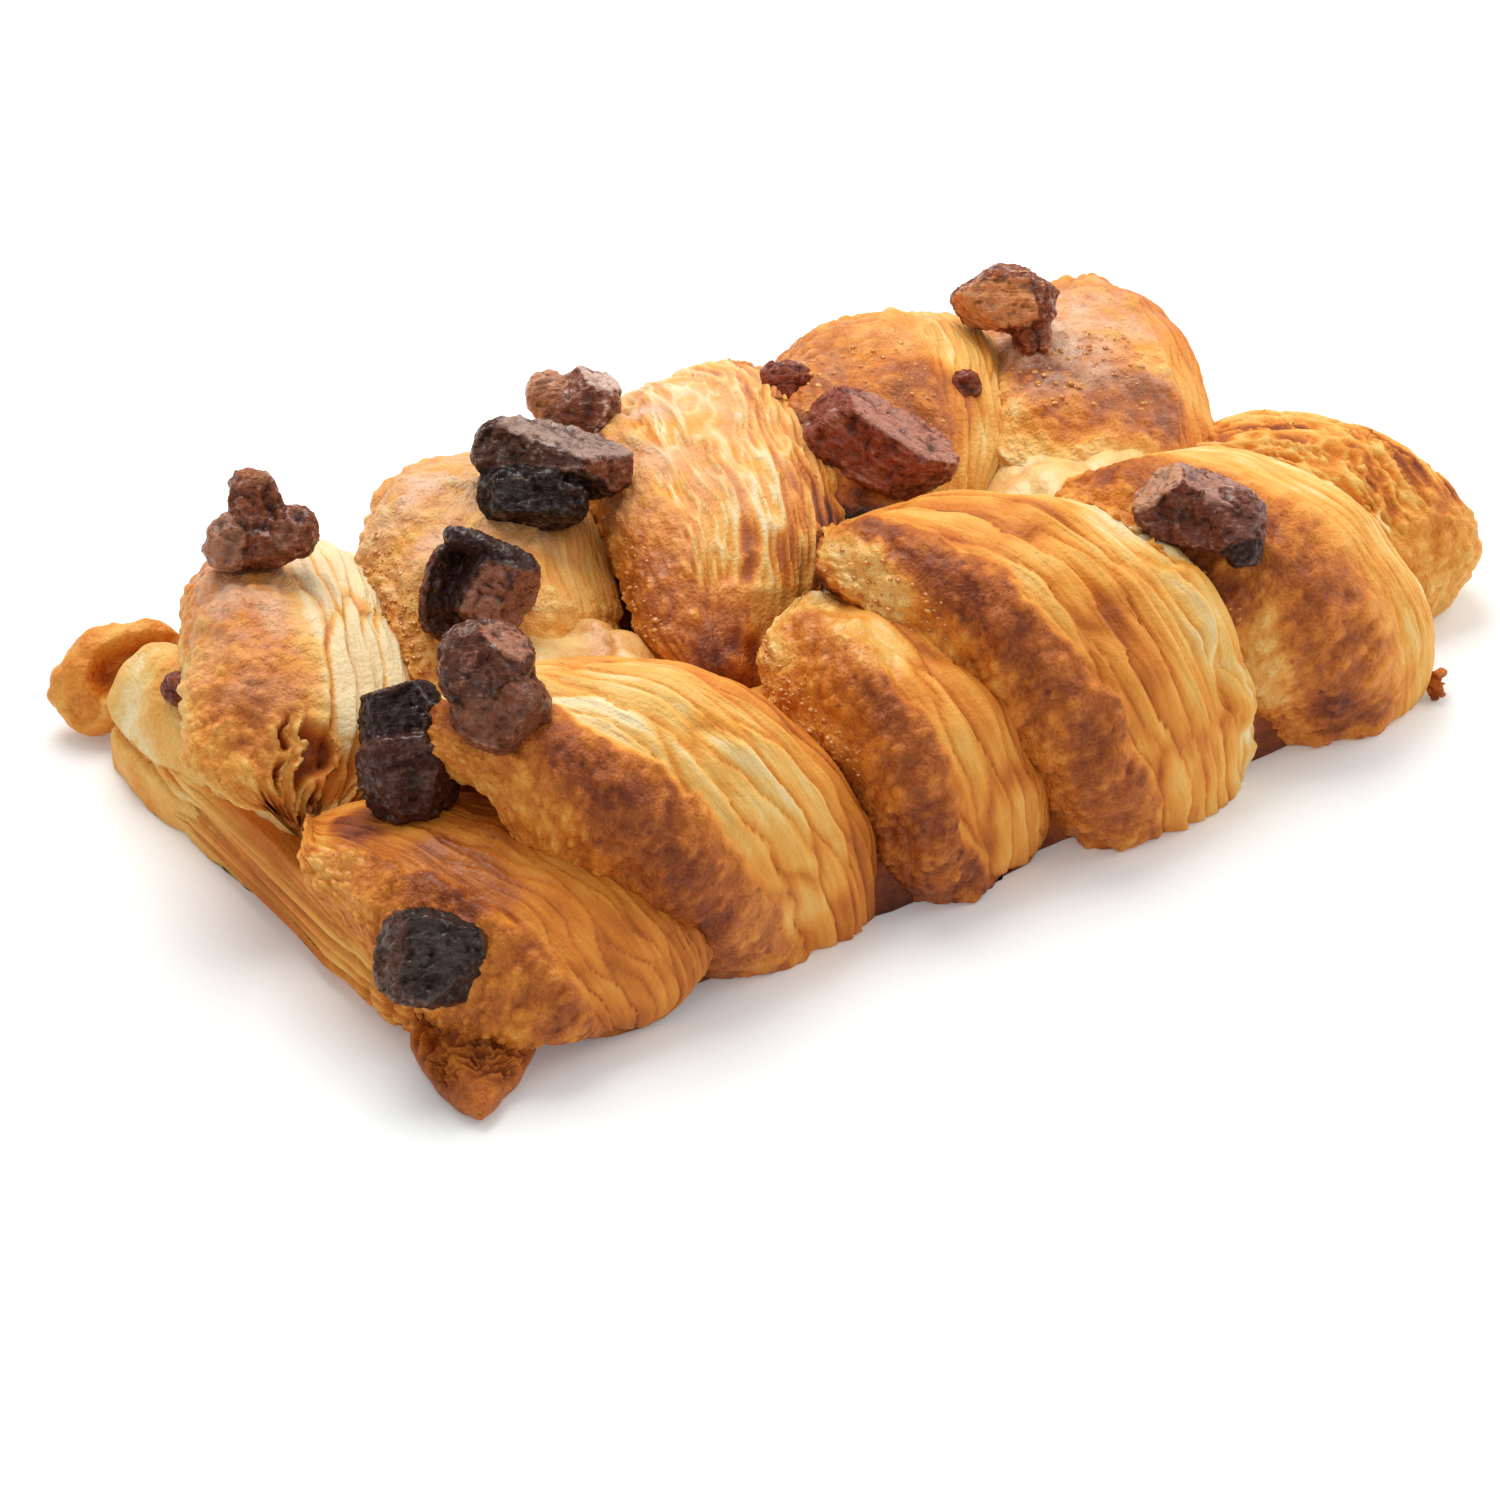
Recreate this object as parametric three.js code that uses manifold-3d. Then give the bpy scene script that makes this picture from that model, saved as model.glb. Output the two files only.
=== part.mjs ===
// A baked danish plait: one laminated dough body whose strips are folded over a
// filled seam from both long sides, with broken pecan pieces set in the top.
// Units are millimetres, +Z is up, +X runs along the plait towards its tail,
// and the origin is at the middle of the flat baked underside.

import * as THREE from "three";
import { mergeVertices } from "three/addons/utils/BufferGeometryUtils.js";
import Module from "manifold-3d";

const wasm = await Module();
wasm.setup();

// Driving dimensions
const MIDDLE_X = -0.844; // middle of the outer box in the plan below
const MIDDLE_Y = 0.58;
const GAP = 0.3; // clearance round a piece that sits in the dough
const SHEET_LENGTH = 132; // base sheet, without the corner tabs
const SHEET_WIDTH = 70;
const SHEET_THICKNESS = 9;
const SHEET_CENTRE_X = -6;
const SHEET_EDGE_ROUND = 3;
const SHEET_CORNER_ROUND = 7;
const ROLL_FROM = -66; // two rolls of dough that lie under the strips
const ROLL_TO = 58;
const ROLL_WIDTH = 35;
const ROLL_TOP = 17.5;
const ROLL_SQUARENESS = 6; // how squarely its ends close
const ROLL_OFFSET = 19.5;
const SEAM_Y = -3; // the seam runs a little to the near side of the middle
const RISE = 6; // height of an arch's centre, so that the strip feet curl under
const FOOT_ANGLE = -32; // degrees along a strip's arch, below the floor
const FOOT_CLOSES_BY = 0.08; // shares of a strip's run where its ends round off
const TIP_CLOSES_FROM = 0.88;
const THINS_FROM = 0.8; // share of the way to the crest where a strip gets thinner
const SWELL = 0.7; // unevenness of the strips, and how fast it changes along one
const SWELL_RATE = 7.3;
const SWELL_SHIFT_ALONG = 1.9; // sets each strip's swellings apart from the last one's
const SWELL_SHIFT_AROUND = 2.3;
const SPINE_STEP = 0.01; // share of the run over which a strip's direction is taken

// Section of a strip, seen along its run: smooth crust on the left shoulder and
// opened layers from just left of the top down the right side.
const SECTION_POWER = 2.3; // 2 is an ellipse, more is squarer
const LAYERS_FROM = 0.4; // share of the way round, from the left underside
const LAYERS_TO = 0.8;
const LAYER_COUNT = 5;
const LAYER_RELIEF = 0.45;
const CRUST_STEP = 0.5; // how far the crust stands over the layers
const TOP_FROM = 0.26; // the part of the section that shows has most points
const TOP_TO = 0.86;
const TOP_POINTS_FROM = 0.12;
const TOP_POINTS_TO = 0.9;
const STRIP_AROUND = 23;
const STRIP_ALONG = 12;

// Each strip: the side it comes from, x at its foot, crest and tip, the crest's
// height, the arch's middle across the plait with its reach outwards and
// inwards, the last angle of the arch, widths at foot, crest and tip, and
// half-depths at foot and tip.
const NEAR = -1;
const FAR = 1;
const stripOf = (side, x, top, [mid, outer, inner], end, width, depth) => {
  return { side, x, top, mid, outer, inner, end, width, depth };
};
const STRIPS = [
  stripOf(NEAR, [-50, -61, -69], 19, [20, 22.5, 21], 138, [22, 27, 17], [9, 4.5]),
  stripOf(NEAR, [-26.5, -45, -57.5], 30.5, [20, 20, 22], 142, [23, 27, 16], [11, 4]),
  stripOf(NEAR, [-3, -9, -9], 25.5, [20, 21.5, 20], 124, [22, 22, 20], [10, 5]),
  stripOf(NEAR, [20.5, 8, 1], 31.5, [20, 23.5, 26], 138, [23, 29, 23], [11, 4]),
  stripOf(NEAR, [47, 38, 28], 26.5, [18, 23, 20], 146, [23, 28, 18], [10.5, 4]),
  stripOf(NEAR, [65, 59, 50], 19.5, [8, 20, 18], 132, [14, 20, 18], [8, 5]),
  stripOf(FAR, [-48, -57, -70], 27.5, [20, 22, 26], 164, [18, 24, 24], [11, 4.5]),
  stripOf(FAR, [-24, -31.5, -41], 29.5, [21, 20.5, 24], 168, [18, 29, 26], [11, 4]),
  stripOf(FAR, [3, -4, -19.5], 32, [19, 22, 33], 168, [18, 29, 20], [11, 4.5]),
  stripOf(FAR, [26, 21.5, 5], 31.2, [20, 21.5, 24], 166, [22, 30, 26], [11, 4]),
  stripOf(FAR, [51, 46.5, 36], 28, [16, 23, 24], 158, [20, 29, 30], [11, 4.5]),
];

// Swollen flank and ends of the sheet that show beside the strips: middle, size,
// rise of the far end and turn in degrees, and how square the form is along y (2 is
// an ellipsoid).
const TABS = [
  { at: [-65.5, 15, 2.5], size: [13, 42, 23], rise: 10, turn: 5, square: 4 },
  { at: [57, 21, 4], size: [22, 32, 17], rise: 0, turn: -12, square: 2 },
  { at: [60, -8, 3], size: [24, 32, 22], rise: 0, turn: 15, square: 2 },
];

// The near left corner of the sheet is a pointed wedge: its middle, its tip, how
// far it reaches back under the strip, and its half width and height.
const CORNER = { at: [-67.5, -35, 2.4], tip: [-72.5, -44], back: 6, halfWidth: 7.4, halfHeight: 3.6 };
const CORNER_NARROWS = 0.86; // shares that the wedge loses towards its tip
const CORNER_THINS = 0.5;
const CORNER_SINKS = 0.4;
const CORNER_NARROWING = 1.6; // powers that shape how it narrows and how full it is
const CORNER_FULLNESS = 0.3;

// Axes that lean towards the near left side: right, up and forward. The folded
// ear at the far left corner and the pecans are laid out on them.
const LEAN_TURN = -34;
const LEAN_TILT = 34.5;
const EAR = { at: [-66.8, 40, 6.3], size: [16.5, 11.5, 7.5], tilt: 23 };

// Filling that shows in the seam, with the height of its top at places along x
const FILLING = { from: -52, to: 46, low: 9.5, width: 19, lumps: 9, lumpHeight: 0.8 };
const FILLING_TOPS = [
  [-52, 19], [-44, 21.5], [-30, 21.5], [-24, 16], [-10, 15.5], [-3, 21],
  [6, 20.5], [12, 17], [22, 20], [30, 22], [46, 20],
];
const FILLING_SQUARENESS = 8; // how squarely its ends close
const FILLING_UNDERSIDE = -0.6; // share of its half height where it is cut flat
const FILLING_WIDENS = 0.4; // share of a lump's height by which it widens the run
const FILLING_AROUND = 10;
const FILLING_ALONG = 20;

// Pecan pieces: the middle of each, its colour and its chunks of kernel. A chunk
// has a middle and a size on the leaning axes, a tilt in degrees about the
// forward one, and flat sides, each a direction in the chunk and the share of
// the half size where it is broken off.
const pecanOf = (at, color, ...chunks) => ({ at, color, chunks });
const chunkOf = (at, size, tilt = 0, ...sides) => ({ at, size, tilt, sides });
const PECANS = [
  pecanOf(
    [-57.5, 22.7, 32.5], 0x6b3a20,
    chunkOf([-0.6, 1.1, 0], [5.6, 9.4, 5.8], 12, [0.3, 0.1, 1, 0.74], [0.2, 1, 0.2, 0.86]),
    chunkOf([3.2, -1.3, 0.3], [5.6, 5.6, 5.6]),
    chunkOf([-3.4, -2.4, 0.2], [5.2, 6.2, 5.8], -25),
    chunkOf([0, -2.4, -0.6], [8, 5.4, 6.5]),
  ),
  pecanOf(
    [-14.2, 26.9, 30.1], 0x7a4228,
    chunkOf([0.3, 0.4, 0], [7.9, 7.4, 7.5], 0, [-0.7, 0.5, 0.5, 0.7], [0.4, 0.8, 0.4, 0.84]),
    chunkOf([-3.7, 1, -0.5], [4.9, 5.6, 5.2], 10),
    chunkOf([-0.5, -2.6, -0.5], [8, 5, 6.5]),
  ),
  pecanOf(
    [-25.3, 14, 30.8], 0x2e2320,
    chunkOf(
      [-0.8, 2.4, -0.5], [17.6, 9, 10], -8,
      [0.25, 0.85, 0.45, 0.52], [-0.35, -0.1, 0.95, 0.68], [0.9, -0.1, 0.5, 0.8], [0, -0.9, 0.4, 0.62],
    ),
    chunkOf(
      [-3.2, -2, 0], [12.6, 7, 9.5], -3,
      [0, 0.1, 1, 0.78], [0, -0.9, 0.45, 0.82], [-0.9, 0, 0.4, 0.85],
    ),
  ),
  pecanOf(
    [-41.4, 4.8, 28], 0x4a2416,
    chunkOf(
      [1.5, 0.2, 0], [9.4, 9.8, 9], -20,
      [0.1, -0.1, 1, 0.68], [0.75, -0.2, 0.6, 0.74], [0, 0.9, 0.4, 0.72], [-0.9, 0.1, 0.4, 0.7],
    ),
    chunkOf([-3.3, -0.6, -1], [5.8, 10.4, 8], -12, [0.5, 0.1, 0.9, 0.25]),
    chunkOf([0.1, 4.1, 0.3], [8.4, 2.8, 6], -22),
  ),
  pecanOf(
    [-54.3, -18.1, 32.1], 0x5c3020,
    chunkOf([-0.4, 2.5, 0], [9.8, 9.4, 9.5], 0, [0.5, 0.7, 0.5, 0.86], [-0.2, 0, 1, 0.88]),
    chunkOf([1.2, -2, 0.4], [10.2, 9, 9], -20, [-0.1, -0.2, 1, 0.76], [0.8, -0.3, 0.5, 0.8]),
  ),
  pecanOf(
    [-61.7, -11.6, 23.5], 0x33190f,
    chunkOf(
      [0.3, 3.3, -0.3], [9.6, 9.2, 8.5], 5,
      [0, 0.15, 1, 0.7], [-0.9, 0, 0.3, 0.8], [0.7, 0.3, 0.5, 0.84], [-0.2, 0.95, 0, 0.76],
    ),
    chunkOf(
      [1.2, -2.2, 0.4], [10.8, 10, 9], 8,
      [0, -0.1, 1, 0.74], [0.8, -0.4, 0.4, 0.8], [-0.8, -0.3, 0.5, 0.8],
    ),
    chunkOf([4.3, 3, 0.8], [2.6, 2.4, 3]),
  ),
  pecanOf(
    [-70, -32.9, 12.7], 0x38302c,
    chunkOf(
      [-1.1, 0.8, 0], [11.6, 10.2, 8.5], 0,
      [0.15, 0.2, 1, 0.56], [-0.85, 0.2, 0.5, 0.72], [0.7, -0.5, 0.5, 0.82], [0.3, 0.9, 0.2, 0.84],
    ),
  ),
  pecanOf(
    [10, 3.9, 27], 0x6e3520,
    chunkOf(
      [0.1, 1.2, 0], [17.6, 10.2, 10], -24,
      [-0.15, -0.45, 0.88, 0.72], [0.25, 0.85, 0.45, 0.62], [-0.9, 0.2, 0.3, 0.87], [0.8, -0.45, 0.3, 0.8],
    ),
  ),
  pecanOf(
    [35.7, 16.8, 30.9], 0x7e4a28,
    chunkOf(
      [0.6, 1.5, 0], [12.2, 8, 9], 0,
      [-0.1, -0.1, 1, 0.62], [0.1, 0.9, 0.35, 0.74], [-0.7, -0.6, 0.4, 0.82], [0.8, 0.1, 0.5, 0.82],
      [-0.7, 0.7, 0.1, 0.74], [0.7, 0.7, 0.1, 0.82],
    ),
    chunkOf([3.6, -2.6, -0.2], [4.2, 5.8, 5]),
  ),
  pecanOf(
    [31, -26.7, 27.7], 0x5e3022,
    chunkOf(
      [-0.3, 1, 0], [14, 9.2, 9.5], -10,
      [-0.2, -0.3, 0.93, 0.66], [0.3, 0.85, 0.4, 0.6], [-0.85, 0.45, 0.3, 0.72],
    ),
    chunkOf([3.6, -0.8, 0], [7.2, 7.2, 8]),
    chunkOf([4.6, -3.7, 1.1], [4.4, 4.2, 4.6]),
  ),
];
const CHUNK_POWER = 2.5; // 2 is an ellipsoid, more is squarer
const FACING_LEAST = 0.01; // a flat side cuts only what faces it more than this

// Small bits of pecan baked fast to the dough: middle, and size on the leaning axes.
const BITS = [
  { at: [8, 19.4, 28.6], size: [6, 6, 5] },
  { at: [-69, 21.9, 15.6], size: [4, 3.5, 4] },
  { at: [26.4, 10.3, 27.2], size: [3.2, 3.4, 3] },
];
const MAIN_CHUNK_DETAIL = 2;
const SIDE_CHUNK_DETAIL = 1;

const CRUST = { color: 0xc47a2c, roughness: 0.45, metalness: 0 };
const CREAM = { color: 0xd9a03f, roughness: 0.3, metalness: 0 };
const NUT = { roughness: 0.55, metalness: 0 };

// Small helpers
const radians = THREE.MathUtils.degToRad;
const mix = THREE.MathUtils.lerp;
const ease = THREE.MathUtils.smoothstep;

// The value at t from 0 to 1 of a curve through three values, the middle one at m.
function through([first, middle, last], t, m) {
  const a = ((t - m) * (t - 1)) / m;
  const b = (t * (t - 1)) / (m * (m - 1));
  const c = (t * (t - m)) / (1 - m);
  return first * a + middle * b + last * c;
}

// The value at x on straight lines between places, each with its value.
function between(places, x) {
  const next = places.findIndex(([at]) => at >= x);
  if (next < 0) return places.at(-1)[1];
  if (next === 0) return places[0][1];
  const [from, first] = places[next - 1];
  const [to, last] = places[next];
  return mix(first, last, (x - from) / (to - from));
}

// The leaning axes, tilted by degrees about the forward one.
function leaning(tilt) {
  const turn = radians(LEAN_TURN);
  const rise = radians(LEAN_TILT);
  const right = new THREE.Vector3(Math.cos(turn), Math.sin(turn), 0);
  const forward = new THREE.Vector3(
    Math.sin(turn) * Math.cos(rise),
    -Math.cos(turn) * Math.cos(rise),
    Math.sin(rise),
  );
  const up = new THREE.Vector3().crossVectors(forward, right);
  const axes = new THREE.Matrix4().makeBasis(right, up, forward);
  return axes.multiply(new THREE.Matrix4().makeRotationZ(radians(tilt)));
}

// A closed three.js geometry as a solid, its shared points merged.
function solidOf(geometry) {
  const bare = geometry.index ? geometry.clone() : geometry;
  for (const name of Object.keys(bare.attributes)) {
    if (name !== "position") bare.deleteAttribute(name);
  }
  const merged = mergeVertices(bare, 1e-4);
  return new wasm.Manifold(
    new wasm.Mesh({
      numProp: 3,
      vertProperties: merged.attributes.position.array,
      triVerts: new Uint32Array(merged.index.array),
    }),
  );
}

const joined = (solids) => solids.reduce((whole, solid) => whole.add(solid));

// A solid as a three.js mesh that has its largest body alone.
function meshOf(solid, name, finish) {
  const bodies = solid.decompose();
  const whole = bodies.reduce((a, b) => (b.volume() > a.volume() ? b : a));
  const made = whole.getMesh();
  const geometry = new THREE.BufferGeometry();
  const points = new Float32Array(made.numVert * 3);
  for (let i = 0; i < made.numVert; i++) {
    points.set(made.vertProperties.subarray(i * made.numProp, i * made.numProp + 3), i * 3);
  }
  geometry.setAttribute("position", new THREE.BufferAttribute(points, 3));
  geometry.setIndex(new THREE.BufferAttribute(made.triVerts, 1));
  const mesh = new THREE.Mesh(geometry, new THREE.MeshStandardMaterial(finish));
  mesh.name = name;
  return mesh;
}

// A ball's net of points, each moved to place(along, around), both from 0 to 1.
function shapedBall(alongSteps, aroundSteps, place) {
  const ball = new THREE.SphereGeometry(1, aroundSteps, alongSteps);
  const position = ball.attributes.position;
  const row = aroundSteps + 1;
  for (let i = 0; i < position.count; i++) {
    const along = Math.floor(i / row) / alongSteps;
    const around = (i % row) / aroundSteps;
    const point = place(along, around % 1);
    position.setXYZ(i, point.x, point.y, point.z);
  }
  return ball;
}

// Strips

// The spine of a strip: a point on its crest line and the outward normal there.
function spine(strip, along) {
  const angle = radians(mix(FOOT_ANGLE, strip.end, along));
  const crestAt = (90 - FOOT_ANGLE) / (strip.end - FOOT_ANGLE);
  const height = strip.top - RISE;
  const reach = Math.cos(angle) > 0 ? strip.outer : strip.inner;
  const point = new THREE.Vector3(
    through(strip.x, along, crestAt),
    strip.side * (strip.mid + reach * Math.cos(angle)),
    RISE + height * Math.sin(angle),
  );
  const normal = new THREE.Vector3(
    0,
    (strip.side * Math.cos(angle)) / reach,
    Math.sin(angle) / height,
  ).normalize();
  return { point, normal, crestAt };
}

// How a strip's section closes at its two ends, from 0 to 1.
function closing(along) {
  const tip = ease(along, TIP_CLOSES_FROM, 1);
  const foot = 1 - ease(along, 0, FOOT_CLOSES_BY);
  return Math.sqrt(Math.max(0, 1 - tip * tip)) * Math.sqrt(Math.max(0, 1 - foot * foot));
}

// Relief across a section: the opened layers lie under the crust in fine ridges.
function layerRelief(around) {
  if (around < LAYERS_FROM || around > LAYERS_TO) return 0;
  const t = (around - LAYERS_FROM) / (LAYERS_TO - LAYERS_FROM);
  const ridge = Math.cos(t * LAYER_COUNT * 2 * Math.PI);
  return LAYER_RELIEF * ridge - CRUST_STEP * (1 - t);
}

// The way round a section, with the points closer together where it shows.
function spread(around) {
  if (around < TOP_POINTS_FROM) return (TOP_FROM * around) / TOP_POINTS_FROM;
  if (around > TOP_POINTS_TO) return mix(TOP_TO, 1, (around - TOP_POINTS_TO) / (1 - TOP_POINTS_TO));
  return mix(TOP_FROM, TOP_TO, (around - TOP_POINTS_FROM) / (TOP_POINTS_TO - TOP_POINTS_FROM));
}

// Low swellings that make the strips uneven.
function swelling(index, along, around) {
  const lengthwise = Math.sin(SWELL_RATE * along + SWELL_SHIFT_ALONG * index);
  const crosswise = Math.sin(2 * Math.PI * around + SWELL_SHIFT_AROUND * index);
  return SWELL * lengthwise * crosswise;
}

function stripSolid(strip, index, grow = 0) {
  const place = (ballAlong, ballAround) => {
    const along = strip.side === FAR ? ballAlong : 1 - ballAlong;
    const around = spread(ballAround);
    const { point, normal, crestAt } = spine(strip, along);
    const ahead = spine(strip, Math.min(1, along + SPINE_STEP)).point;
    const behind = spine(strip, Math.max(0, along - SPINE_STEP)).point;
    const run = ahead.sub(behind).normalize();
    const across = new THREE.Vector3().crossVectors(run, normal).normalize();
    if (across.x < 0) across.negate();
    const out = new THREE.Vector3().crossVectors(across, run).normalize();
    if (out.dot(normal) < 0) out.negate();

    const width = through(strip.width, along, crestAt) / 2 + grow;
    const depth = mix(strip.depth[0], strip.depth[1], ease(along, crestAt * THINS_FROM, 1)) + grow;
    const angle = -Math.PI / 2 - 2 * Math.PI * around;
    const round = (v) => Math.sign(v) * Math.abs(v) ** (2 / SECTION_POWER);
    const relief = layerRelief(around) + swelling(index, along, around);
    const close = closing(along);
    const lateral = round(Math.cos(angle)) * (width + 0.5 * relief) * close;
    const lift = (round(Math.sin(angle)) * (depth + relief) - depth) * close;
    return point
      .addScaledVector(across, lateral)
      .addScaledVector(out, lift + grow)
      .addScaledVector(run, 2 * grow * ease(along, TIP_CLOSES_FROM, 1));
  };
  return solidOf(shapedBall(STRIP_ALONG, STRIP_AROUND, place));
}

// Base sheet, rolls and tabs

function sheetSolid() {
  const halfLength = SHEET_LENGTH / 2 - SHEET_EDGE_ROUND;
  const halfWidth = SHEET_WIDTH / 2 - SHEET_EDGE_ROUND;
  const r = SHEET_CORNER_ROUND;
  const outline = new THREE.Shape();
  outline.moveTo(-halfLength + r, -halfWidth);
  outline.lineTo(halfLength - r, -halfWidth);
  outline.quadraticCurveTo(halfLength, -halfWidth, halfLength, -halfWidth + r);
  outline.lineTo(halfLength, halfWidth - r);
  outline.quadraticCurveTo(halfLength, halfWidth, halfLength - r, halfWidth);
  outline.lineTo(-halfLength + r, halfWidth);
  outline.quadraticCurveTo(-halfLength, halfWidth, -halfLength, halfWidth - r);
  outline.lineTo(-halfLength, -halfWidth + r);
  outline.quadraticCurveTo(-halfLength, -halfWidth, -halfLength + r, -halfWidth);
  const sheet = new THREE.ExtrudeGeometry(outline, {
    depth: SHEET_THICKNESS - 2 * SHEET_EDGE_ROUND,
    bevelThickness: SHEET_EDGE_ROUND,
    bevelSize: SHEET_EDGE_ROUND,
    bevelSegments: 3,
    curveSegments: 5,
  });
  sheet.translate(SHEET_CENTRE_X, 0, SHEET_EDGE_ROUND);
  return solidOf(sheet);
}

function rollSolid(side) {
  const place = (along, around) => {
    const close = Math.sqrt(Math.max(0, 1 - (2 * along - 1) ** ROLL_SQUARENESS));
    const angle = 2 * Math.PI * around;
    return new THREE.Vector3(
      mix(ROLL_FROM, ROLL_TO, along),
      side * ROLL_OFFSET + (ROLL_WIDTH / 2) * Math.sin(angle) * close,
      ROLL_TOP * Math.cos(angle) * close,
    );
  };
  return solidOf(shapedBall(10, 16, place));
}

function tabSolid({ at, size, rise, turn, square }) {
  const tab = new THREE.SphereGeometry(0.5, 14, 9);
  const position = tab.attributes.position;
  const point = new THREE.Vector3();
  for (let i = 0; i < position.count; i++) {
    point.fromBufferAttribute(position, i).multiplyScalar(2);
    const thick = Math.hypot(point.x, point.z) ** square;
    point.multiplyScalar(0.5 * (thick + Math.abs(point.y) ** square) ** (-1 / square));
    position.setXYZ(i, point.x, point.y, point.z);
  }
  tab.scale(...size);
  tab.rotateX(radians(rise));
  tab.rotateZ(radians(turn));
  tab.translate(...at);
  return solidOf(tab);
}

function earSolid() {
  const ear = new THREE.SphereGeometry(0.5, 14, 9);
  ear.scale(...EAR.size);
  ear.applyMatrix4(leaning(EAR.tilt));
  ear.translate(...EAR.at);
  return solidOf(ear);
}

function cornerSolid() {
  const [x, y, z] = CORNER.at;
  const ahead = new THREE.Vector3(CORNER.tip[0] - x, CORNER.tip[1] - y, 0);
  const length = ahead.length();
  ahead.normalize();
  const aside = new THREE.Vector3(-ahead.y, ahead.x, 0);
  const place = (along, around) => {
    const turn = 2 * Math.PI * around;
    const share = (1 - Math.cos(Math.PI * along)) / 2;
    const full = Math.max(0, Math.sin(Math.PI * along)) ** CORNER_FULLNESS;
    const wide = CORNER.halfWidth * (1 - CORNER_NARROWS * share ** CORNER_NARROWING) * full * Math.sin(turn);
    const high = CORNER.halfHeight * (1 - CORNER_THINS * share) * full * Math.cos(turn);
    return new THREE.Vector3(x, y, z * (1 - CORNER_SINKS * share) + high)
      .addScaledVector(ahead, mix(-CORNER.back, length, share))
      .addScaledVector(aside, wide);
  };
  return solidOf(shapedBall(10, 16, place));
}

// Everything under the floor the plait was baked on.
function floorSolid() {
  const floor = new THREE.BoxGeometry(300, 200, 60);
  floor.translate(0, 0, -30);
  return solidOf(floor);
}

// Filling: a lumpy run along the seam, flat below.
function fillingSolid(grow = 0) {
  const place = (along, around) => {
    const x = mix(FILLING.from - grow, FILLING.to + grow, along);
    const close = Math.sqrt(Math.max(0, 1 - (2 * along - 1) ** FILLING_SQUARENESS));
    const lump = FILLING.lumpHeight * Math.sin(along * FILLING.lumps * 2 * Math.PI);
    const angle = 2 * Math.PI * around;
    const high = between(FILLING_TOPS, x);
    const half = (high - FILLING.low) / 2 + grow;
    const up = Math.max(FILLING_UNDERSIDE, Math.cos(angle));
    const y = SEAM_Y + Math.sin(angle) * (FILLING.width / 2 + grow + FILLING_WIDENS * lump) * close;
    const z = (high + FILLING.low) / 2 + up * (half + Math.max(0, up) * lump) * close;
    return new THREE.Vector3(x, y, z);
  };
  return solidOf(shapedBall(FILLING_ALONG, FILLING_AROUND, place));
}

// Pecans: chunks of a kernel, each broken off along flat sides.
function chunkSolid(middle, { at, size, tilt, sides }, detail, grow = 0) {
  const faces = sides.map(([x, y, z, share]) => ({ normal: new THREE.Vector3(x, y, z).normalize(), share }));
  const chunk = new THREE.IcosahedronGeometry(1, detail);
  const position = chunk.attributes.position;
  const half = new THREE.Vector3(...size).multiplyScalar(0.5);
  const direction = new THREE.Vector3();
  for (let i = 0; i < position.count; i++) {
    direction.fromBufferAttribute(position, i).normalize();
    const sum = direction.toArray().reduce((total, part) => total + Math.abs(part) ** CHUNK_POWER, 0);
    let radius = sum ** (-1 / CHUNK_POWER);
    for (const { normal, share } of faces) {
      const facing = direction.dot(normal);
      if (facing > FACING_LEAST) radius = Math.min(radius, share / facing);
    }
    direction.multiply(half.clone().multiplyScalar(radius).addScalar(grow));
    position.setXYZ(i, direction.x, direction.y, direction.z);
  }
  const offset = new THREE.Vector3(...at).applyMatrix4(leaning(0));
  chunk.applyMatrix4(leaning(tilt));
  chunk.translate(middle[0] + offset.x, middle[1] + offset.y, middle[2] + offset.z);
  return solidOf(chunk);
}

function pecanSolid({ at, chunks }, grow = 0) {
  const solids = chunks.map((chunk, index) => {
    const detail = index === 0 ? MAIN_CHUNK_DETAIL : SIDE_CHUNK_DETAIL;
    return chunkSolid(at, chunk, detail, grow);
  });
  return joined(solids);
}

// Assembly

let filling = fillingSolid();
let plait = joined([sheetSolid(), rollSolid(NEAR), rollSolid(FAR), ...TABS.map(tabSolid)]);
plait = plait.add(earSolid()).add(cornerSolid());
plait = plait.subtract(fillingSolid(GAP));
STRIPS.forEach((strip, index) => {
  plait = plait.add(stripSolid(strip, index));
  filling = filling.subtract(stripSolid(strip, index, 2 * GAP));
});
for (const { at, size } of BITS) {
  plait = plait.add(chunkSolid(at, chunkOf([0, 0, 0], size), SIDE_CHUNK_DETAIL));
}
plait = plait.subtract(floorSolid());

const danish = new THREE.Group();
PECANS.forEach((pecan, index) => {
  const socket = pecanSolid(pecan, GAP);
  plait = plait.subtract(socket);
  filling = filling.subtract(socket);
  const name = `pecan_${String(index + 1).padStart(2, "0")}`;
  danish.add(meshOf(pecanSolid(pecan), name, { ...NUT, color: pecan.color }));
});
danish.add(meshOf(plait, "plait", CRUST));
danish.add(meshOf(filling, "filling", CREAM));

for (const piece of danish.children) {
  piece.geometry.translate(-MIDDLE_X, -MIDDLE_Y, 0);
}

export default danish;
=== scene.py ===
"""Looks of a baked danish plait: laminated strips folded over a filled seam, with broken pecans."""

import logging
import math
from dataclasses import dataclass
from enum import Enum
from itertools import product
from typing import ClassVar

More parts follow.
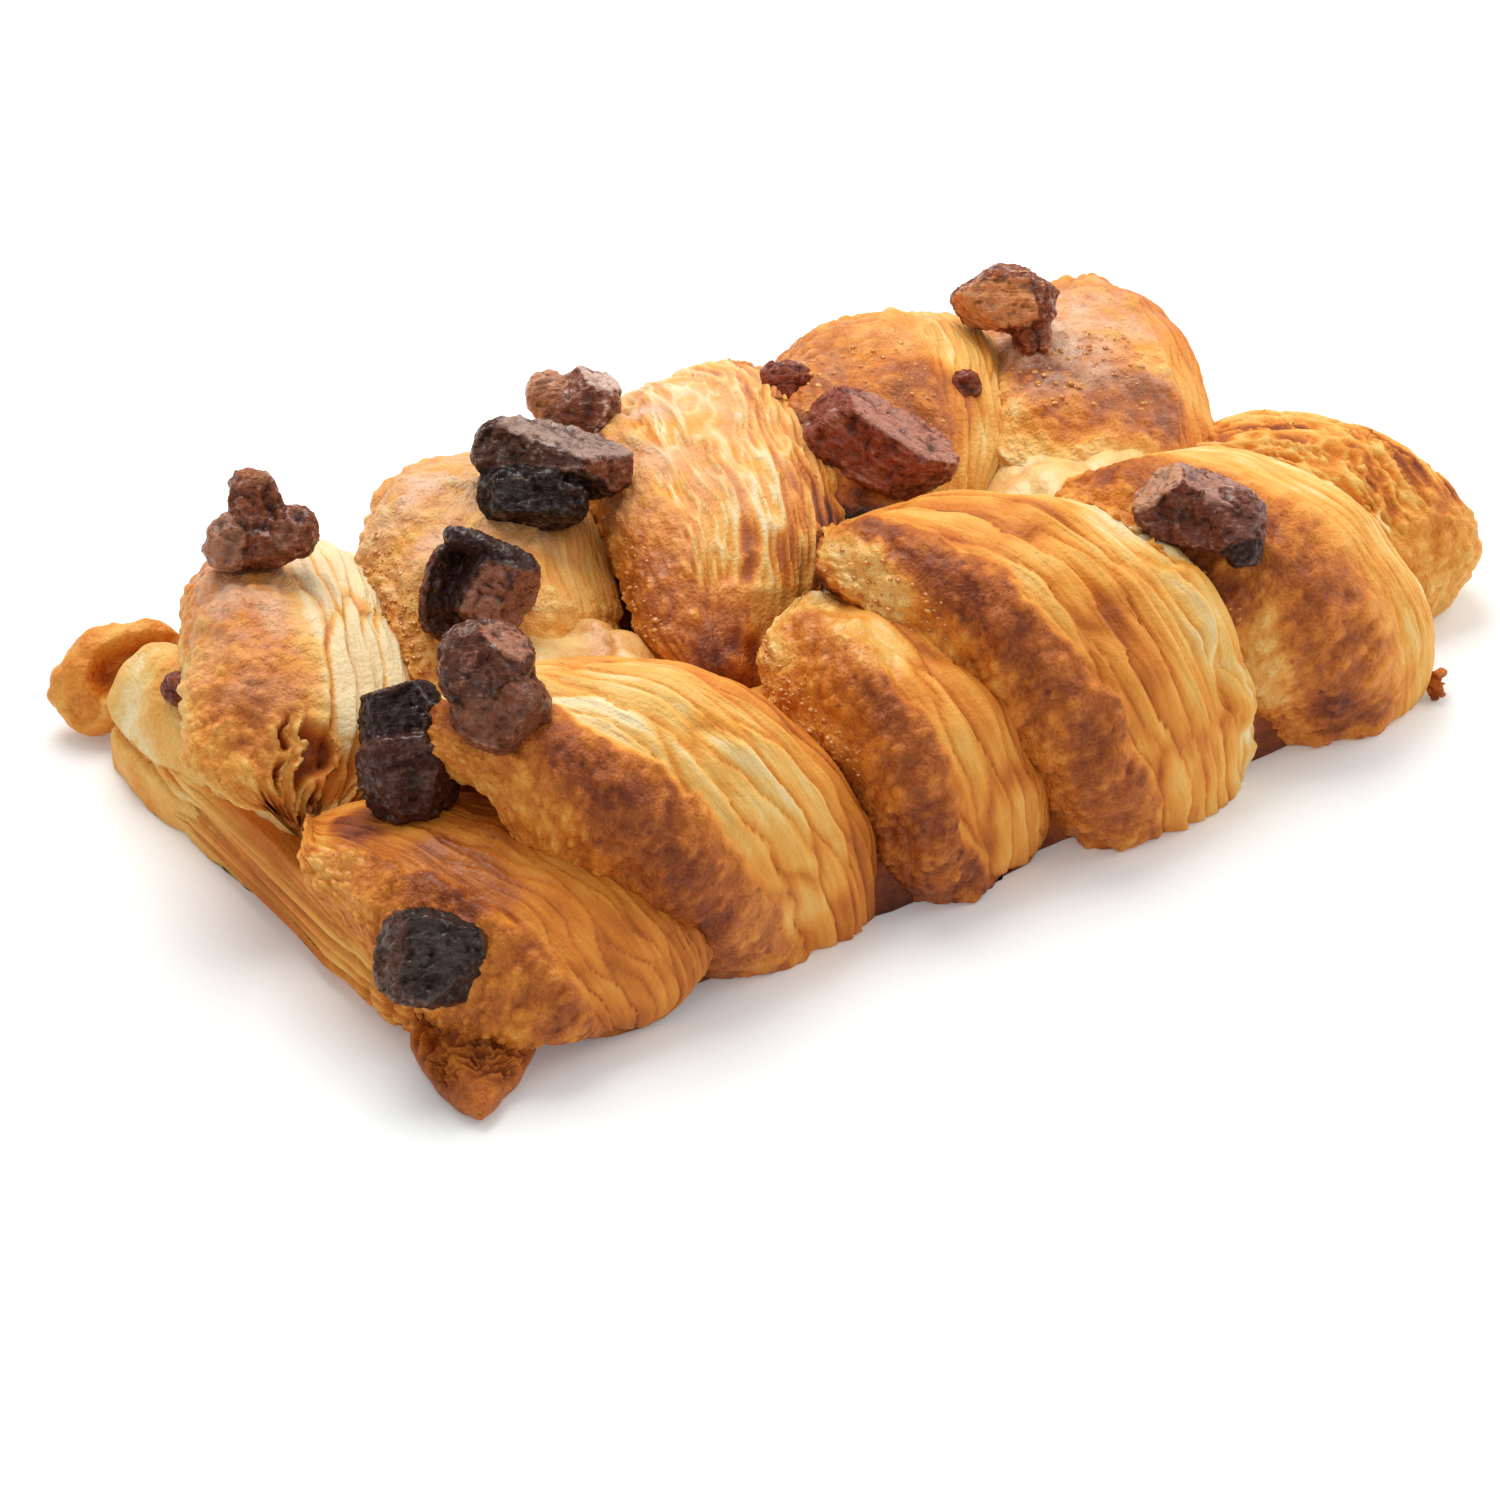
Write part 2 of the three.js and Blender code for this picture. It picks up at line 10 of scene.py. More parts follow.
import bpy
import numpy as np
from mathutils import Euler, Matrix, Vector


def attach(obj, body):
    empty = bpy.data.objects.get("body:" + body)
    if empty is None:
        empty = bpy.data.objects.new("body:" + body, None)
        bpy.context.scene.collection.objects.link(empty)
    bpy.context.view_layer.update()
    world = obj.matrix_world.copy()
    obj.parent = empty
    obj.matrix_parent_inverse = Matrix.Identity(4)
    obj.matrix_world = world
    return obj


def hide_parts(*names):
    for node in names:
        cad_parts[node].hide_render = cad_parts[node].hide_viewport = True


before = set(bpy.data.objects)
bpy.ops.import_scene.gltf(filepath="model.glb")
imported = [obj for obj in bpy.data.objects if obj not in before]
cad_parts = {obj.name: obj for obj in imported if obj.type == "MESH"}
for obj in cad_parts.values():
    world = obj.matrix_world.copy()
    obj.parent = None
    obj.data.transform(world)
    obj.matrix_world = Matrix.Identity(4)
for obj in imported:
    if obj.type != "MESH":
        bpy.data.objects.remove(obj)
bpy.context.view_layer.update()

LOG = logging.getLogger("danish")
MILLIMETRE = 0.001
PLAN_SHIFT = np.array([0.844, -0.58, 0.0])  # from the plan below to the part's own origin, mm
VIEW_TURN = math.radians(-34.0)
VIEW_TILT = math.radians(34.5)
RIGHT = np.array([math.cos(VIEW_TURN), math.sin(VIEW_TURN), 0.0])
FORWARD = np.array(
    [
        math.sin(VIEW_TURN) * math.cos(VIEW_TILT),
        -math.cos(VIEW_TURN) * math.cos(VIEW_TILT),
        math.sin(VIEW_TILT),
    ]
)
VIEW = np.array([RIGHT, np.cross(FORWARD, RIGHT), FORWARD])  # right, up and towards the viewer

Pair = tuple[float, float]
Triple = tuple[float, float, float]
Color = tuple[int, int, int]
Array = np.ndarray
Piece = bpy.types.Object
Material = bpy.types.Material


def leaning(tilt: float) -> Array:
    """The right, up and forward directions, tilted by degrees about the forward one."""
    angle = math.radians(tilt)
    c, s = math.cos(angle), math.sin(angle)
    return np.array([[c, s, 0], [-s, c, 0], [0, 0, 1]]) @ VIEW


# Numbers that repeat: smooth steps, hashed noise and cells


def ease(value: Array, low: float, high: float) -> Array:
    """A smooth step from 0 at low to 1 at high."""
    part = np.clip((value - low) / (high - low), 0.0, 1.0)
    return part * part * (3.0 - 2.0 * part)


def through(values: Triple, part: Array, middle: float) -> Array:
    """A curve through three values at 0, middle and 1.

    Args:
        values: the three values.
        part: where to read the curve, from 0 to 1.
        middle: where the second value lies.

    Returns:
        The curve's values.
    """
    first = (part - middle) * (part - 1.0) / middle
    second = part * (part - 1.0) / (middle * (middle - 1.0))
    third = part * (part - middle) / (1.0 - middle)
    return values[0] * first + values[1] * second + values[2] * third


def squared(value: Array, power: float) -> Array:
    """Makes a sine or cosine run round a squarer section, which is round at a power of 2."""
    return np.sign(value) * np.abs(value) ** (2 / power)


class Noise:
    """Seeded noise on hashed lattices, the same on every run."""

    PRIMES = (0x9E3779B1, 0x85EBCA77, 0xC2B2AE3D)
    SEED_STEP, SEED_START = 0x27D4EB2F, 0x165667B1
    STIR, LAST_STIR, TAG_STIR = np.uint32(0x2C1B3C6D), np.uint32(0x297A2D39), np.uint32(0x9E3779B1)
    MARGIN, SPREAD = 0.12, 0.76  # where a cell's seed may lie, as shares of the cell
    NOWHERE = 9.0  # farther than any seed
    SLOPES = np.array(
        [
            (1, 1, 0), (-1, 1, 0), (1, -1, 0), (-1, -1, 0), (1, 0, 1), (-1, 0, 1), (1, 0, -1), (-1, 0, -1),
            (0, 1, 1), (0, -1, 1), (0, 1, -1), (0, -1, -1), (1, 1, 0), (-1, 1, 0), (0, -1, 1), (0, -1, -1),
        ],
        float,
    )

    @classmethod
    def hashed(cls, seed: int, *cells: Array) -> Array:
        """A whole number that looks random for each lattice cell.

        Args:
            seed: picks one of many patterns.
            cells: the cells' whole-number coordinates.

        Returns:
            Numbers of 32 bits.
        """
        mixed = np.full(cells[0].shape, (seed * cls.SEED_STEP + cls.SEED_START) & 0xFFFFFFFF, np.uint32)
        for prime, cell in zip(cls.PRIMES, cells):
            mixed ^= cell.astype(np.int64).astype(np.uint32) * np.uint32(prime)
            mixed ^= mixed >> np.uint32(15)
            mixed *= cls.STIR
            mixed ^= mixed >> np.uint32(12)
        mixed *= cls.LAST_STIR
        return mixed ^ (mixed >> np.uint32(15))

    @classmethod
    def soft(cls, points: Array, size: float, seed: int) -> Array:
        """Smooth noise from about -1 to 1.

        Args:
            points: places to read, with three coordinates last.
            size: the size of one swelling.
            seed: picks one of many patterns.

        Returns:
            One value a point.
        """
        net = points / size
        base = np.floor(net)
        part = net - base
        base = base.astype(np.int64)
        fade = part**3 * (part * (part * 6.0 - 15.0) + 10.0)
        total = np.zeros(points.shape[:-1])
        for corner in np.ndindex(2, 2, 2):
            step = np.array(corner)
            cell = base + step
            slope = cls.SLOPES[cls.hashed(seed, cell[..., 0], cell[..., 1], cell[..., 2]) & np.uint32(15)]
            weight = np.prod(np.where(step == 1, fade, 1.0 - fade), axis=-1)
            total += weight * np.sum(slope * (part - step), axis=-1)
        return total

    @classmethod
    def rough(cls, points: Array, size: float, octaves: int, seed: int) -> Array:
        """Several sizes of smooth noise together.

        Args:
            points: places to read, with three coordinates last.
            size: the size of the largest swellings.
            octaves: how many sizes, each half the one before.
            seed: picks one of many patterns.

        Returns:
            One value a point, from about -1 to 1.
        """
        total = np.zeros(points.shape[:-1])
        for octave in range(octaves):
            total += cls.soft(points, size / 2**octave, seed + 17 * octave) / 2**octave
        return total

    @classmethod
    def flat(cls, a: Array, b: Array, seed: int) -> Array:
        """Smooth noise over two coordinates."""
        return cls.soft(np.stack([a, b, np.full(a.shape, 0.37)], -1), 1.0, seed)

    @classmethod
    def cells(cls, a: Array, b: Array, seed: int) -> tuple[Array, ...]:
        """Uneven cells round scattered seeds on a plane.

        Args:
            a: the first coordinate, one cell to a unit.
            b: the second coordinate.
            seed: picks one of many patterns.

        Returns:
            The distance to the nearest seed, how much farther the next one is, a number
            from 0 to 1 for each cell, and the way along b from the seed.
        """
        base_a, base_b = np.floor(a), np.floor(b)
        near = np.full(a.shape, cls.NOWHERE)
        second = np.full(a.shape, cls.NOWHERE)
        tag = np.zeros(a.shape)
        lean = np.zeros(a.shape)
        for step_a, step_b in product((-1, 0, 1), repeat=2):
            cell_a, cell_b = base_a + step_a, base_b + step_b
            number = cls.hashed(seed, cell_a, cell_b)
            seed_a = cell_a + cls.MARGIN + cls.SPREAD * ((number & np.uint32(0xFFFF)) / 0xFFFF)
            seed_b = cell_b + cls.MARGIN + cls.SPREAD * ((number >> np.uint32(16)) / 0xFFFF)
            away = np.hypot(a - seed_a, b - seed_b)
            closer = away < near
            second = np.where(closer, near, np.minimum(second, away))
            tag = np.where(closer, ((number * cls.TAG_STIR) >> np.uint32(8)) / 0xFFFFFF, tag)
            lean = np.where(closer, b - seed_b, lean)
            near = np.where(closer, away, near)
        return near, second - near, tag, lean


class Draw:
    """A row of repeatable numbers, for what is scattered."""

    STEP, SHIFT, RANGE = 1664525, 1013904223, 2**32

    def __init__(self, seed: int) -> None:
        """Starts the row at a seed."""
        self.state = seed

    def __call__(self) -> float:
        """The next number from 0 to 1."""
        self.state = (self.state * self.STEP + self.SHIFT) % self.RANGE
        return self.state / self.RANGE

    def between(self, low: float, high: float) -> float:
        """The next number from low to high."""
        return low + (high - low) * self()


# Shader maths and node building


def light(color: Color, share: float = 1.0) -> tuple[float, float, float, float]:
    """A display colour from 0 to 255 as linear light.

    Args:
        color: red, green and blue on a screen.
        share: a factor on the light.

    Returns:
        Red, green, blue and alpha.
    """
    parts = [c / 255.0 for c in color]
    linear = [p / 12.92 if p <= 0.04045 else ((p + 0.055) / 1.055) ** 2.4 for p in parts]
    return (linear[0] * share, linear[1] * share, linear[2] * share, 1.0)


class Sock:
    """A node's output that takes part in Python sums."""

    def __init__(self, shader: "Shader", socket: bpy.types.NodeSocket) -> None:
        """Wraps one output of a shader's node."""
        self.shader = shader
        self.socket = socket

    def _math(self, operation: str, first: "Sock | float", second: "Sock | float") -> "Sock":
        """Adds a Math node for two values."""
        return self.shader.node("ShaderNodeMath", {"operation": operation}, {0: first, 1: second})

    def __add__(self, other: "Sock | float") -> "Sock":
        """Sum."""
        return self._math("ADD", self, other)

    __radd__ = __add__

    def __sub__(self, other: "Sock | float") -> "Sock":
        """Difference."""
        return self._math("SUBTRACT", self, other)

    def __rsub__(self, other: float) -> "Sock":
        """Difference from a number."""
        return self._math("SUBTRACT", other, self)

    def __mul__(self, other: "Sock | float") -> "Sock":
        """Product."""
        return self._math("MULTIPLY", self, other)

    __rmul__ = __mul__

    def above(self, low: float, high: float) -> "Sock":
        """A smooth step from 0 at low to 1 at high."""
        inputs = {"Value": self, "From Min": low, "From Max": high}
        return self.shader.node("ShaderNodeMapRange", {"interpolation_type": "SMOOTHSTEP"}, inputs)


class Shader:
    """One procedural material and the nodes in it."""

    def __init__(self, name: str) -> None:
        """Starts a material with its surface shader."""
        self.material = bpy.data.materials.new(name)
        self.material.use_nodes = True
        self.tree = self.material.node_tree
        self.surface = self.tree.nodes["Principled BSDF"]

    def node(
        self, kind: str, settings: dict | None = None, inputs: dict | None = None, output: int | str = 0
    ) -> Sock:
        """Adds any node.

        Args:
            kind: the node's type.
            settings: its settings, with a ramp's stops under "stops".
            inputs: values or links of its sockets, by name or number.
            output: which output to hand back.

        Returns:
            The output, ready for sums.
        """
        made = self.tree.nodes.new(kind)
        for key, value in (settings or {}).items():
            if key == "stops":
                self._stops(made.color_ramp, value)
            else:
                setattr(made, key, value)
        for key, value in (inputs or {}).items():
            self.feed(made.inputs[key], value)
        return Sock(self, made.outputs[output])

    def feed(self, socket: bpy.types.NodeSocket, value: "Sock | float | tuple") -> None:
        """Links an output to a socket or sets its value."""
        if isinstance(value, Sock):
            self.tree.links.new(value.socket, socket)
        else:
            socket.default_value = value

    def set(self, **values: "Sock | float | tuple") -> None:
        """Feeds the surface shader's sockets, with _ for a space in a name."""
        for key, value in values.items():
            self.feed(self.surface.inputs[key.replace("_", " ")], value)

    @staticmethod
    def _stops(ramp: bpy.types.ColorRamp, stops: list[tuple[float, tuple]]) -> None:
        """Sets a ramp's stops."""
        while len(ramp.elements) < len(stops):
            ramp.elements.new(0.5)
        for element, (at, color) in zip(ramp.elements, stops):
            element.position = at
            element.color = color

    def value(self, name: str) -> Sock:
        """A number that the piece carries at each point."""
        return self.node("ShaderNodeAttribute", {"attribute_name": name}, output="Fac")

    def place(self) -> Sock:
        """Object coordinates."""
        return self.node("ShaderNodeTexCoord", output="Object")

    def along(self, scale: Triple) -> Sock:
        """Coordinates that follow a strip's run, stretched."""
        grain = self.node("ShaderNodeAttribute", {"attribute_name": "grain"}, output="Vector")
        return self.node("ShaderNodeMapping", {}, {"Vector": grain, "Scale": scale})

    def noise(self, place: Sock, scale: float, detail: float = 3.0) -> Sock:
        """Cloudy values from 0 to 1."""
        inputs = {"Vector": place, "Scale": scale, "Detail": detail, "Roughness": 0.55}
        return self.node("ShaderNodeTexNoise", {}, inputs)

    def mix(self, factor: "Sock | float", first: "Sock | tuple", second: "Sock | tuple") -> Sock:
        """A blend of two colours."""
        return self.node("ShaderNodeMix", {"data_type": "RGBA"}, {0: factor, 6: first, 7: second}, 2)

    def bump(self, height: Sock, depth: float) -> Sock:
        """Fine relief of a depth in metres."""
        return self.node("ShaderNodeBump", {}, {"Height": height, "Strength": 1.0, "Distance": depth})


@dataclass(frozen=True)
class DoughFinish:
    """Baked laminated dough, from pale layers to burnt edges."""

    stops: tuple[tuple[float, Color], ...] = (
        (0.00, (255, 234, 184)),
        (0.14, (251, 200, 110)),
        (0.30, (245, 168, 68)),
        (0.45, (226, 134, 44)),
        (0.60, (188, 100, 32)),
        (0.75, (146, 68, 24)),
        (0.88, (100, 44, 18)),
        (1.00, (46, 24, 14)),
    )
    # pale powdery colour with a painted sheen, laid on the strips' crests
    bloom: Color = (250, 206, 172)
    share: float = 0.9

    def make(self) -> Material:
        """Builds the material, which reads the bake, fibre, gloss and bloom values of a piece."""
        shader = Shader("dough")
        place = shader.place()
        cloud = shader.noise(place, 210.0)
        grain = shader.noise(place, 950.0)
        sand = shader.noise(place, 2300.0, 2.0)
        lines = shader.noise(shader.along((1500.0, 90.0, 1.0)), 1.0, 2.0)
        speck = shader.node("ShaderNodeTexVoronoi", {}, {"Vector": place, "Scale": 520.0}, "Distance")
        fibre = shader.value("fibre")
        gloss = shader.value("gloss")
        crust = 1.0 - fibre
        dots = (1.0 - speck.above(0.10, 0.26)) * crust * cloud.above(0.48, 0.62)
        tone = shader.value("bake") + (cloud - 0.5) * 0.18 + (grain - 0.5) * 0.22 * crust
        tone = tone + (lines - 0.5) * fibre * 0.34 + dots * 0.14 + (sand - 0.5) * 0.26 * crust
        stops = [(at, light(color, self.share)) for at, color in self.stops]
        color = shader.node("ShaderNodeValToRGB", {"stops": stops}, {"Fac": tone})
        # painted sheen: the crests are mixed towards a pale powdery colour
        dusty = shader.value("bloom") * (cloud + sand * 0.5).above(0.45, 0.95)
        color = shader.mix(dusty, color, light(self.bloom, self.share))
        height = grain * 0.6 + lines * fibre * 0.9 + cloud * 0.3 + sand * (0.3 + 0.5 * crust)
        shader.set(
            Base_Color=color,
            Roughness=0.56 - gloss * 0.26 + (grain - 0.5) * 0.20,
            Coat_Weight=gloss * 0.40,
            Coat_Roughness=0.20,
            Specular_IOR_Level=0.22,
            Subsurface_Weight=0.10,
            Subsurface_Radius=(1.0, 0.45, 0.18),
            Subsurface_Scale=0.0016,
            Normal=shader.bump(height, 0.00045),
        )
        return shader.material


@dataclass(frozen=True)
class FillingFinish:
    """Glossy baked cream in the seam."""

    pale: Color = (253, 216, 142)
    deep: Color = (230, 160, 78)

    def make(self) -> Material:
        """Builds the material."""
        shader = Shader("filling")
        place = shader.place()
        cloud = shader.noise(place, 180.0)
        grain = shader.noise(place, 900.0)
        tone = (cloud + (grain - 0.5) * 0.4 + shader.value("bake") - 0.5).above(0.25, 0.8)
        shader.set(
            Base_Color=shader.mix(tone, light(self.pale, 0.86), light(self.deep, 0.86)),
            Roughness=0.3 + grain * 0.2,
            Coat_Weight=0.22,
            Coat_Roughness=0.12,
            Subsurface_Weight=0.2,
            Subsurface_Radius=(1.0, 0.55, 0.2),
            Subsurface_Scale=0.0025,
            Normal=shader.bump(grain + cloud, 0.0003),
        )
        return shader.material


@dataclass(frozen=True)
class PecanFinish:
    """Roasted pecan: wrinkled skin, paler broken faces, powdery faces with a painted sheen, burnt faces,
    painted highlights on raised ridges and painted shade in hollows.
    """

    skin: Color
    broken: Color
    dust_and_sheen_color: Color
    burnt: Color
    # dark colour for random mottle and for painted shade in hollows
    dark_mottle_and_shade: Color = (30, 13, 9)

    def make(self, name: str) -> Material:
        """Builds the material.

        Args:
            name: the material's name.

        Returns:
            The material, which reads the piece's broken, dusty, burnt, worn, cavity and grain values.
        """
        shader = Shader(name)
        place = shader.place()
        cloud = shader.noise(place, 330.0)
        grain = shader.noise(place, 1500.0)
        streaks = shader.noise(shader.along((330.0, 1700.0, 1700.0)), 1.0)
        spread = cloud * 0.9 + grain * 0.5 - 0.7
        broken = (shader.value("broken") + spread * 0.9).above(0.25, 0.75)
        # powdery faces with a painted sheen
        dusty = (shader.value("dusty") + spread * 1.0).above(0.45, 0.95)
        burnt = (shader.value("burnt") + spread * 0.8).above(0.25, 0.75)
        body = shader.mix(broken, light(self.skin), light(self.broken))
        body = shader.mix(dusty * 0.85, body, light(self.dust_and_sheen_color))
        body = shader.mix(burnt * 0.9, body, light(self.burnt))
        mottle = (grain - 0.5) * 0.9 + (streaks - 0.5) * 1.1 + (cloud - 0.5) * 0.6
        # paler on raised ridges, a painted highlight with powder, mixed with random mottle
        pale = (shader.value("worn") * 0.3 + mottle).above(0.06, 0.40) * (1.0 - burnt * 0.6)
        body = shader.mix(pale * 0.8, body, light(self.dust_and_sheen_color))
        body = shader.mix((0.0 - mottle).above(0.04, 0.34) * 0.7, body, light(self.dark_mottle_and_shade))
        # painted shade in the hollows of the relief
        shade = (shader.value("cavity") + (grain - 0.5) * 0.5).above(0.15, 0.85) * 0.75
        glints = (grain * 0.6 + cloud * 0.5).above(0.48, 0.62)
        shader.set(
            Base_Color=shader.mix(shade, body, light(self.dark_mottle_and_shade)),
            Roughness=0.5 - glints * 0.22,
            Coat_Weight=glints * 0.7,
            Coat_Roughness=0.2,
            Specular_IOR_Level=0.16,
            Normal=shader.bump(grain + cloud * 0.5 + streaks, 0.0007),
        )
        return shader.material


@dataclass(frozen=True)
class GlazeFinish:
    """Amber sugar beads."""

    pale: Color = (222, 146, 58)
    deep: Color = (196, 112, 34)

    def make(self) -> Material:
        """Builds the material."""
        shader = Shader("glaze")
        cloud = shader.noise(shader.place(), 420.0)
        shader.set(
            Base_Color=shader.mix(cloud.above(0.35, 0.65), light(self.pale), light(self.deep)),
            Roughness=0.12 + cloud * 0.12,
            Coat_Weight=0.5,
            Coat_Roughness=0.05,
            Subsurface_Weight=0.25,
            Subsurface_Radius=(1.0, 0.6, 0.25),
            Subsurface_Scale=0.0015,
        )
        return shader.material


# Mesh building shared by the pieces


class Bench:
    """Small modelling steps that every piece uses."""

    @staticmethod
    def pick(*pieces: Piece) -> None:
        """Selects pieces alone, the first of them as the active one, or nothing."""
        bpy.ops.object.select_all(action="DESELECT")
        for piece in pieces:
            piece.select_set(True)
        if pieces:
            bpy.context.view_layer.objects.active = pieces[0]

    @staticmethod
    def points(piece: Piece, key: str = "co") -> Array:
        """A piece's points in metres, or with the key "normal" its outward directions there."""
        flat = np.empty(len(piece.data.vertices) * 3)
        piece.data.vertices.foreach_get(key, flat)
        return flat.reshape(-1, 3)

    @staticmethod
    def put(piece: Piece, points: Array) -> None:
        """Moves a piece's points, given in metres."""
        piece.data.vertices.foreach_set("co", np.ascontiguousarray(points, np.float32).ravel())
        piece.data.update()

    @staticmethod
    def carry(piece: Piece, **values: Array | float) -> None:
        """Stores named numbers, values or vectors at a piece's points."""
        for name, value in values.items():
            kind, key = ("FLOAT_VECTOR", "vector") if np.ndim(value) == 2 else ("FLOAT", "value")
            layer = piece.data.attributes.new(name, kind, "POINT")
            whole = value if np.ndim(value) else np.full(len(piece.data.vertices), value)
            layer.data.foreach_set(key, np.ascontiguousarray(whole, np.float32).ravel())

    @staticmethod
    def soften(piece: Piece, value: Array, rounds: int) -> Array:
        """Evens out values at a piece's points with those of their neighbours.

        Args:
            piece: the object.
            value: one value a point.
            rounds: how many times each point takes half its neighbours' mean.

        Returns:
            The softer values.
        """
        ends = np.empty(2 * len(piece.data.edges), np.int32)
        piece.data.edges.foreach_get("vertices", ends)
        first, second = ends[::2], ends[1::2]
        many = np.bincount(ends, minlength=len(value))
        for _ in range(rounds):
            total = np.bincount(first, value[second], len(value))
            total += np.bincount(second, value[first], len(value))
            value = 0.5 * value + 0.5 * total / many
        return value

    @staticmethod
    def face_out(piece: Piece) -> None:
        """Turns a closed piece's faces outwards."""
        piece.data.calc_loop_triangles()
        corners = np.empty(len(piece.data.loop_triangles) * 3, np.int32)
        piece.data.loop_triangles.foreach_get("vertices", corners)
        a, b, c = np.moveaxis(Bench.points(piece)[corners.reshape(-1, 3)], 1, 0)
        if np.sum(a * np.cross(b, c)) < 0:
            Bench.edit(piece)
            bpy.ops.mesh.flip_normals()
            bpy.ops.object.mode_set(mode="OBJECT")

    @staticmethod
    def edit(piece: Piece) -> None:
        """Opens a piece in edit mode with all of it selected."""
        Bench.pick(piece)
        bpy.ops.object.mode_set(mode="EDIT")
        bpy.ops.mesh.select_all(action="SELECT")

    @staticmethod
    def join(pieces: list[Piece], name: str) -> Piece:
        """Joins pieces into one.

        Args:
            pieces: what to join.
            name: the joined piece's name.

        Returns:
            The joined piece.
        """
        Bench.pick(*pieces)
        if len(pieces) > 1:
            bpy.ops.object.join()
        pieces[0].name = name
        return pieces[0]

    @staticmethod
    def repeat(pattern: Piece, nets: list[Array], name: str) -> Piece:
        """Makes one piece from many copies of a pattern, each with its own points.

        Args:
            pattern: the modelled pattern, which is used up.
            nets: each copy's points in the plan, mm.
            name: the piece's name.

        Returns:
            The piece.
        """
        faces = np.array([list(face.vertices) for face in pattern.data.polygons])
        count = len(pattern.data.vertices)
        corners = np.concatenate([faces + count * number for number in range(len(nets))])
        mesh = bpy.data.meshes.new(name)
        mesh.from_pydata((np.concatenate(nets) + PLAN_SHIFT) * MILLIMETRE, [], corners.tolist())
        bpy.data.objects.remove(pattern)
        piece = bpy.data.objects.new(name, mesh)
        bpy.context.collection.objects.link(piece)
        return piece

    @staticmethod
    def modify(piece: Piece, kind: str, **settings: object) -> None:
        """Adds a modifier, sets it and applies it."""
        bpy.context.view_layer.objects.active = piece
        modifier = piece.modifiers.new(kind.title(), kind)
        for key, value in settings.items():
            setattr(modifier, key, value)
        bpy.ops.object.modifier_apply(modifier=modifier.name)

    @staticmethod
    def dress(piece: Piece, material: Material, node: str = "plait", slot: str = "dough") -> Piece:
        """Gives a piece its material and its place in the frame.

        Args:
            piece: the finished piece.
            material: its finish.
            node: the solid that it stands for.
            slot: the record's material slot; not used.

        Returns:
            The piece.
        """
        Bench.pick(piece)
        bpy.ops.object.shade_smooth()
        piece.data.materials.clear()
        piece.data.materials.append(material)
        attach(piece, "root")
        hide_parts(node)
        LOG.info("%s: %d faces", piece.name, len(piece.data.polygons))
        return piece


class BallNet:
    """A ball primitive whose net of rings and segments is moved onto a surface."""

    PATTERNS: dict[tuple[int, int], bpy.types.Mesh] = {}

    def __init__(self, name: str, rings: int, segments: int) -> None:
        """Adds a ball, or a copy of one of its size, and finds each point's ring and segment."""
        pattern = self.PATTERNS.get((rings, segments))
        if pattern is None:
            Bench.pick()
            bpy.ops.mesh.primitive_uv_sphere_add(
                segments=segments, ring_count=rings, radius=1.0, calc_uvs=False
            )
            self.piece = bpy.context.object
            self.PATTERNS[rings, segments] = self.piece.data.copy()
        else:
            self.piece = bpy.data.objects.new(name, pattern.copy())
            bpy.context.collection.objects.link(self.piece)
        self.piece.name = name
        points = Bench.points(self.piece)
        self.ring = np.rint(np.arccos(np.clip(points[:, 2], -1, 1)) / math.pi * rings).astype(int)
        turn = np.arctan2(points[:, 1], points[:, 0]) / (2 * math.pi)
        self.segment = np.rint(turn * segments).astype(int) % segments
        self.along, self.around = np.meshgrid(
            np.linspace(0, 1, rings + 1), np.arange(segments) / segments, indexing="ij"
        )

    def ball(self) -> Array:
        """The directions of a round ball over the net."""
        tilt, turn = np.pi * self.along, 2 * np.pi * self.around
        return np.stack([np.sin(tilt) * np.cos(turn), np.sin(tilt) * np.sin(turn), np.cos(tilt)], -1)

    @staticmethod
    def outward(points: Array) -> Array:
        """Outward directions over a net of points on a closed surface."""
        down = np.gradient(points, axis=0)
        side = np.roll(points, -1, axis=1) - np.roll(points, 1, axis=1)
        normal = np.cross(down, side)
        normal /= np.linalg.norm(normal, axis=-1, keepdims=True) + 1e-9
        middle = points.mean(axis=(0, 1))
        return normal if np.sum(normal * (points - middle)) > 0 else -normal

    @staticmethod
    def raised(points: Array, relief: Array) -> Array:
        """A net on a closed surface, moved outwards by a relief in mm."""
        return points + BallNet.outward(points) * relief[..., None]

    def lay(self, points: Array, **values: Array | float) -> Piece:
        """Moves the ball's points onto a net and stores values there.

        Args:
            points: the net in the plan, mm.
            values: values over the net, or one for all of it, by name.

        Returns:
            The piece.
        """
        floored = points + PLAN_SHIFT
        floored[..., 2] = np.maximum(floored[..., 2], 0.0)
        Bench.put(self.piece, floored[self.ring, self.segment] * MILLIMETRE)
        for name, value in values.items():
            Bench.carry(self.piece, **{name: value[self.ring, self.segment] if np.ndim(value) else value})
        Bench.face_out(self.piece)
        return self.piece

    def bake(
        self, points: Array, material: Material, grain: tuple[Array, Array], **values: Array | float
    ) -> Piece:
        """Lays dough onto a net and dresses it as part of the plait.

        Args:
            points: the net in the plan, mm.
            material: the dough's finish.
            grain: distances across and along the layers, mm.
            values: the finish's values over the net, or one for all of it, by name.

        Returns:
            The piece.
        """
        layers = np.stack([*grain, 0 * grain[0]], -1) * MILLIMETRE
        return Bench.dress(self.lay(points, **values, grain=layers), material)


# The strips


class Side(Enum):
    """The long side that a strip is folded over from."""

    NEAR = -1
    FAR = 1


class Layers(Enum):
    """How a strip's layers show: spacing in mm, stretch, relief in mm, tint and whether edges stand up."""

    FINE = (1.8, 10.0, 0.55, 0.14, False)
    WEB = (0.95, 12.0, 0.65, 0.36, True)
    CELLS = (0.75, 8.0, 0.8, 0.40, True)
    ROPES = (2.0, 13.0, 1.1, 0.44, False)
    FAINT = (1.1, 13.0, 0.3, 0.08, False)


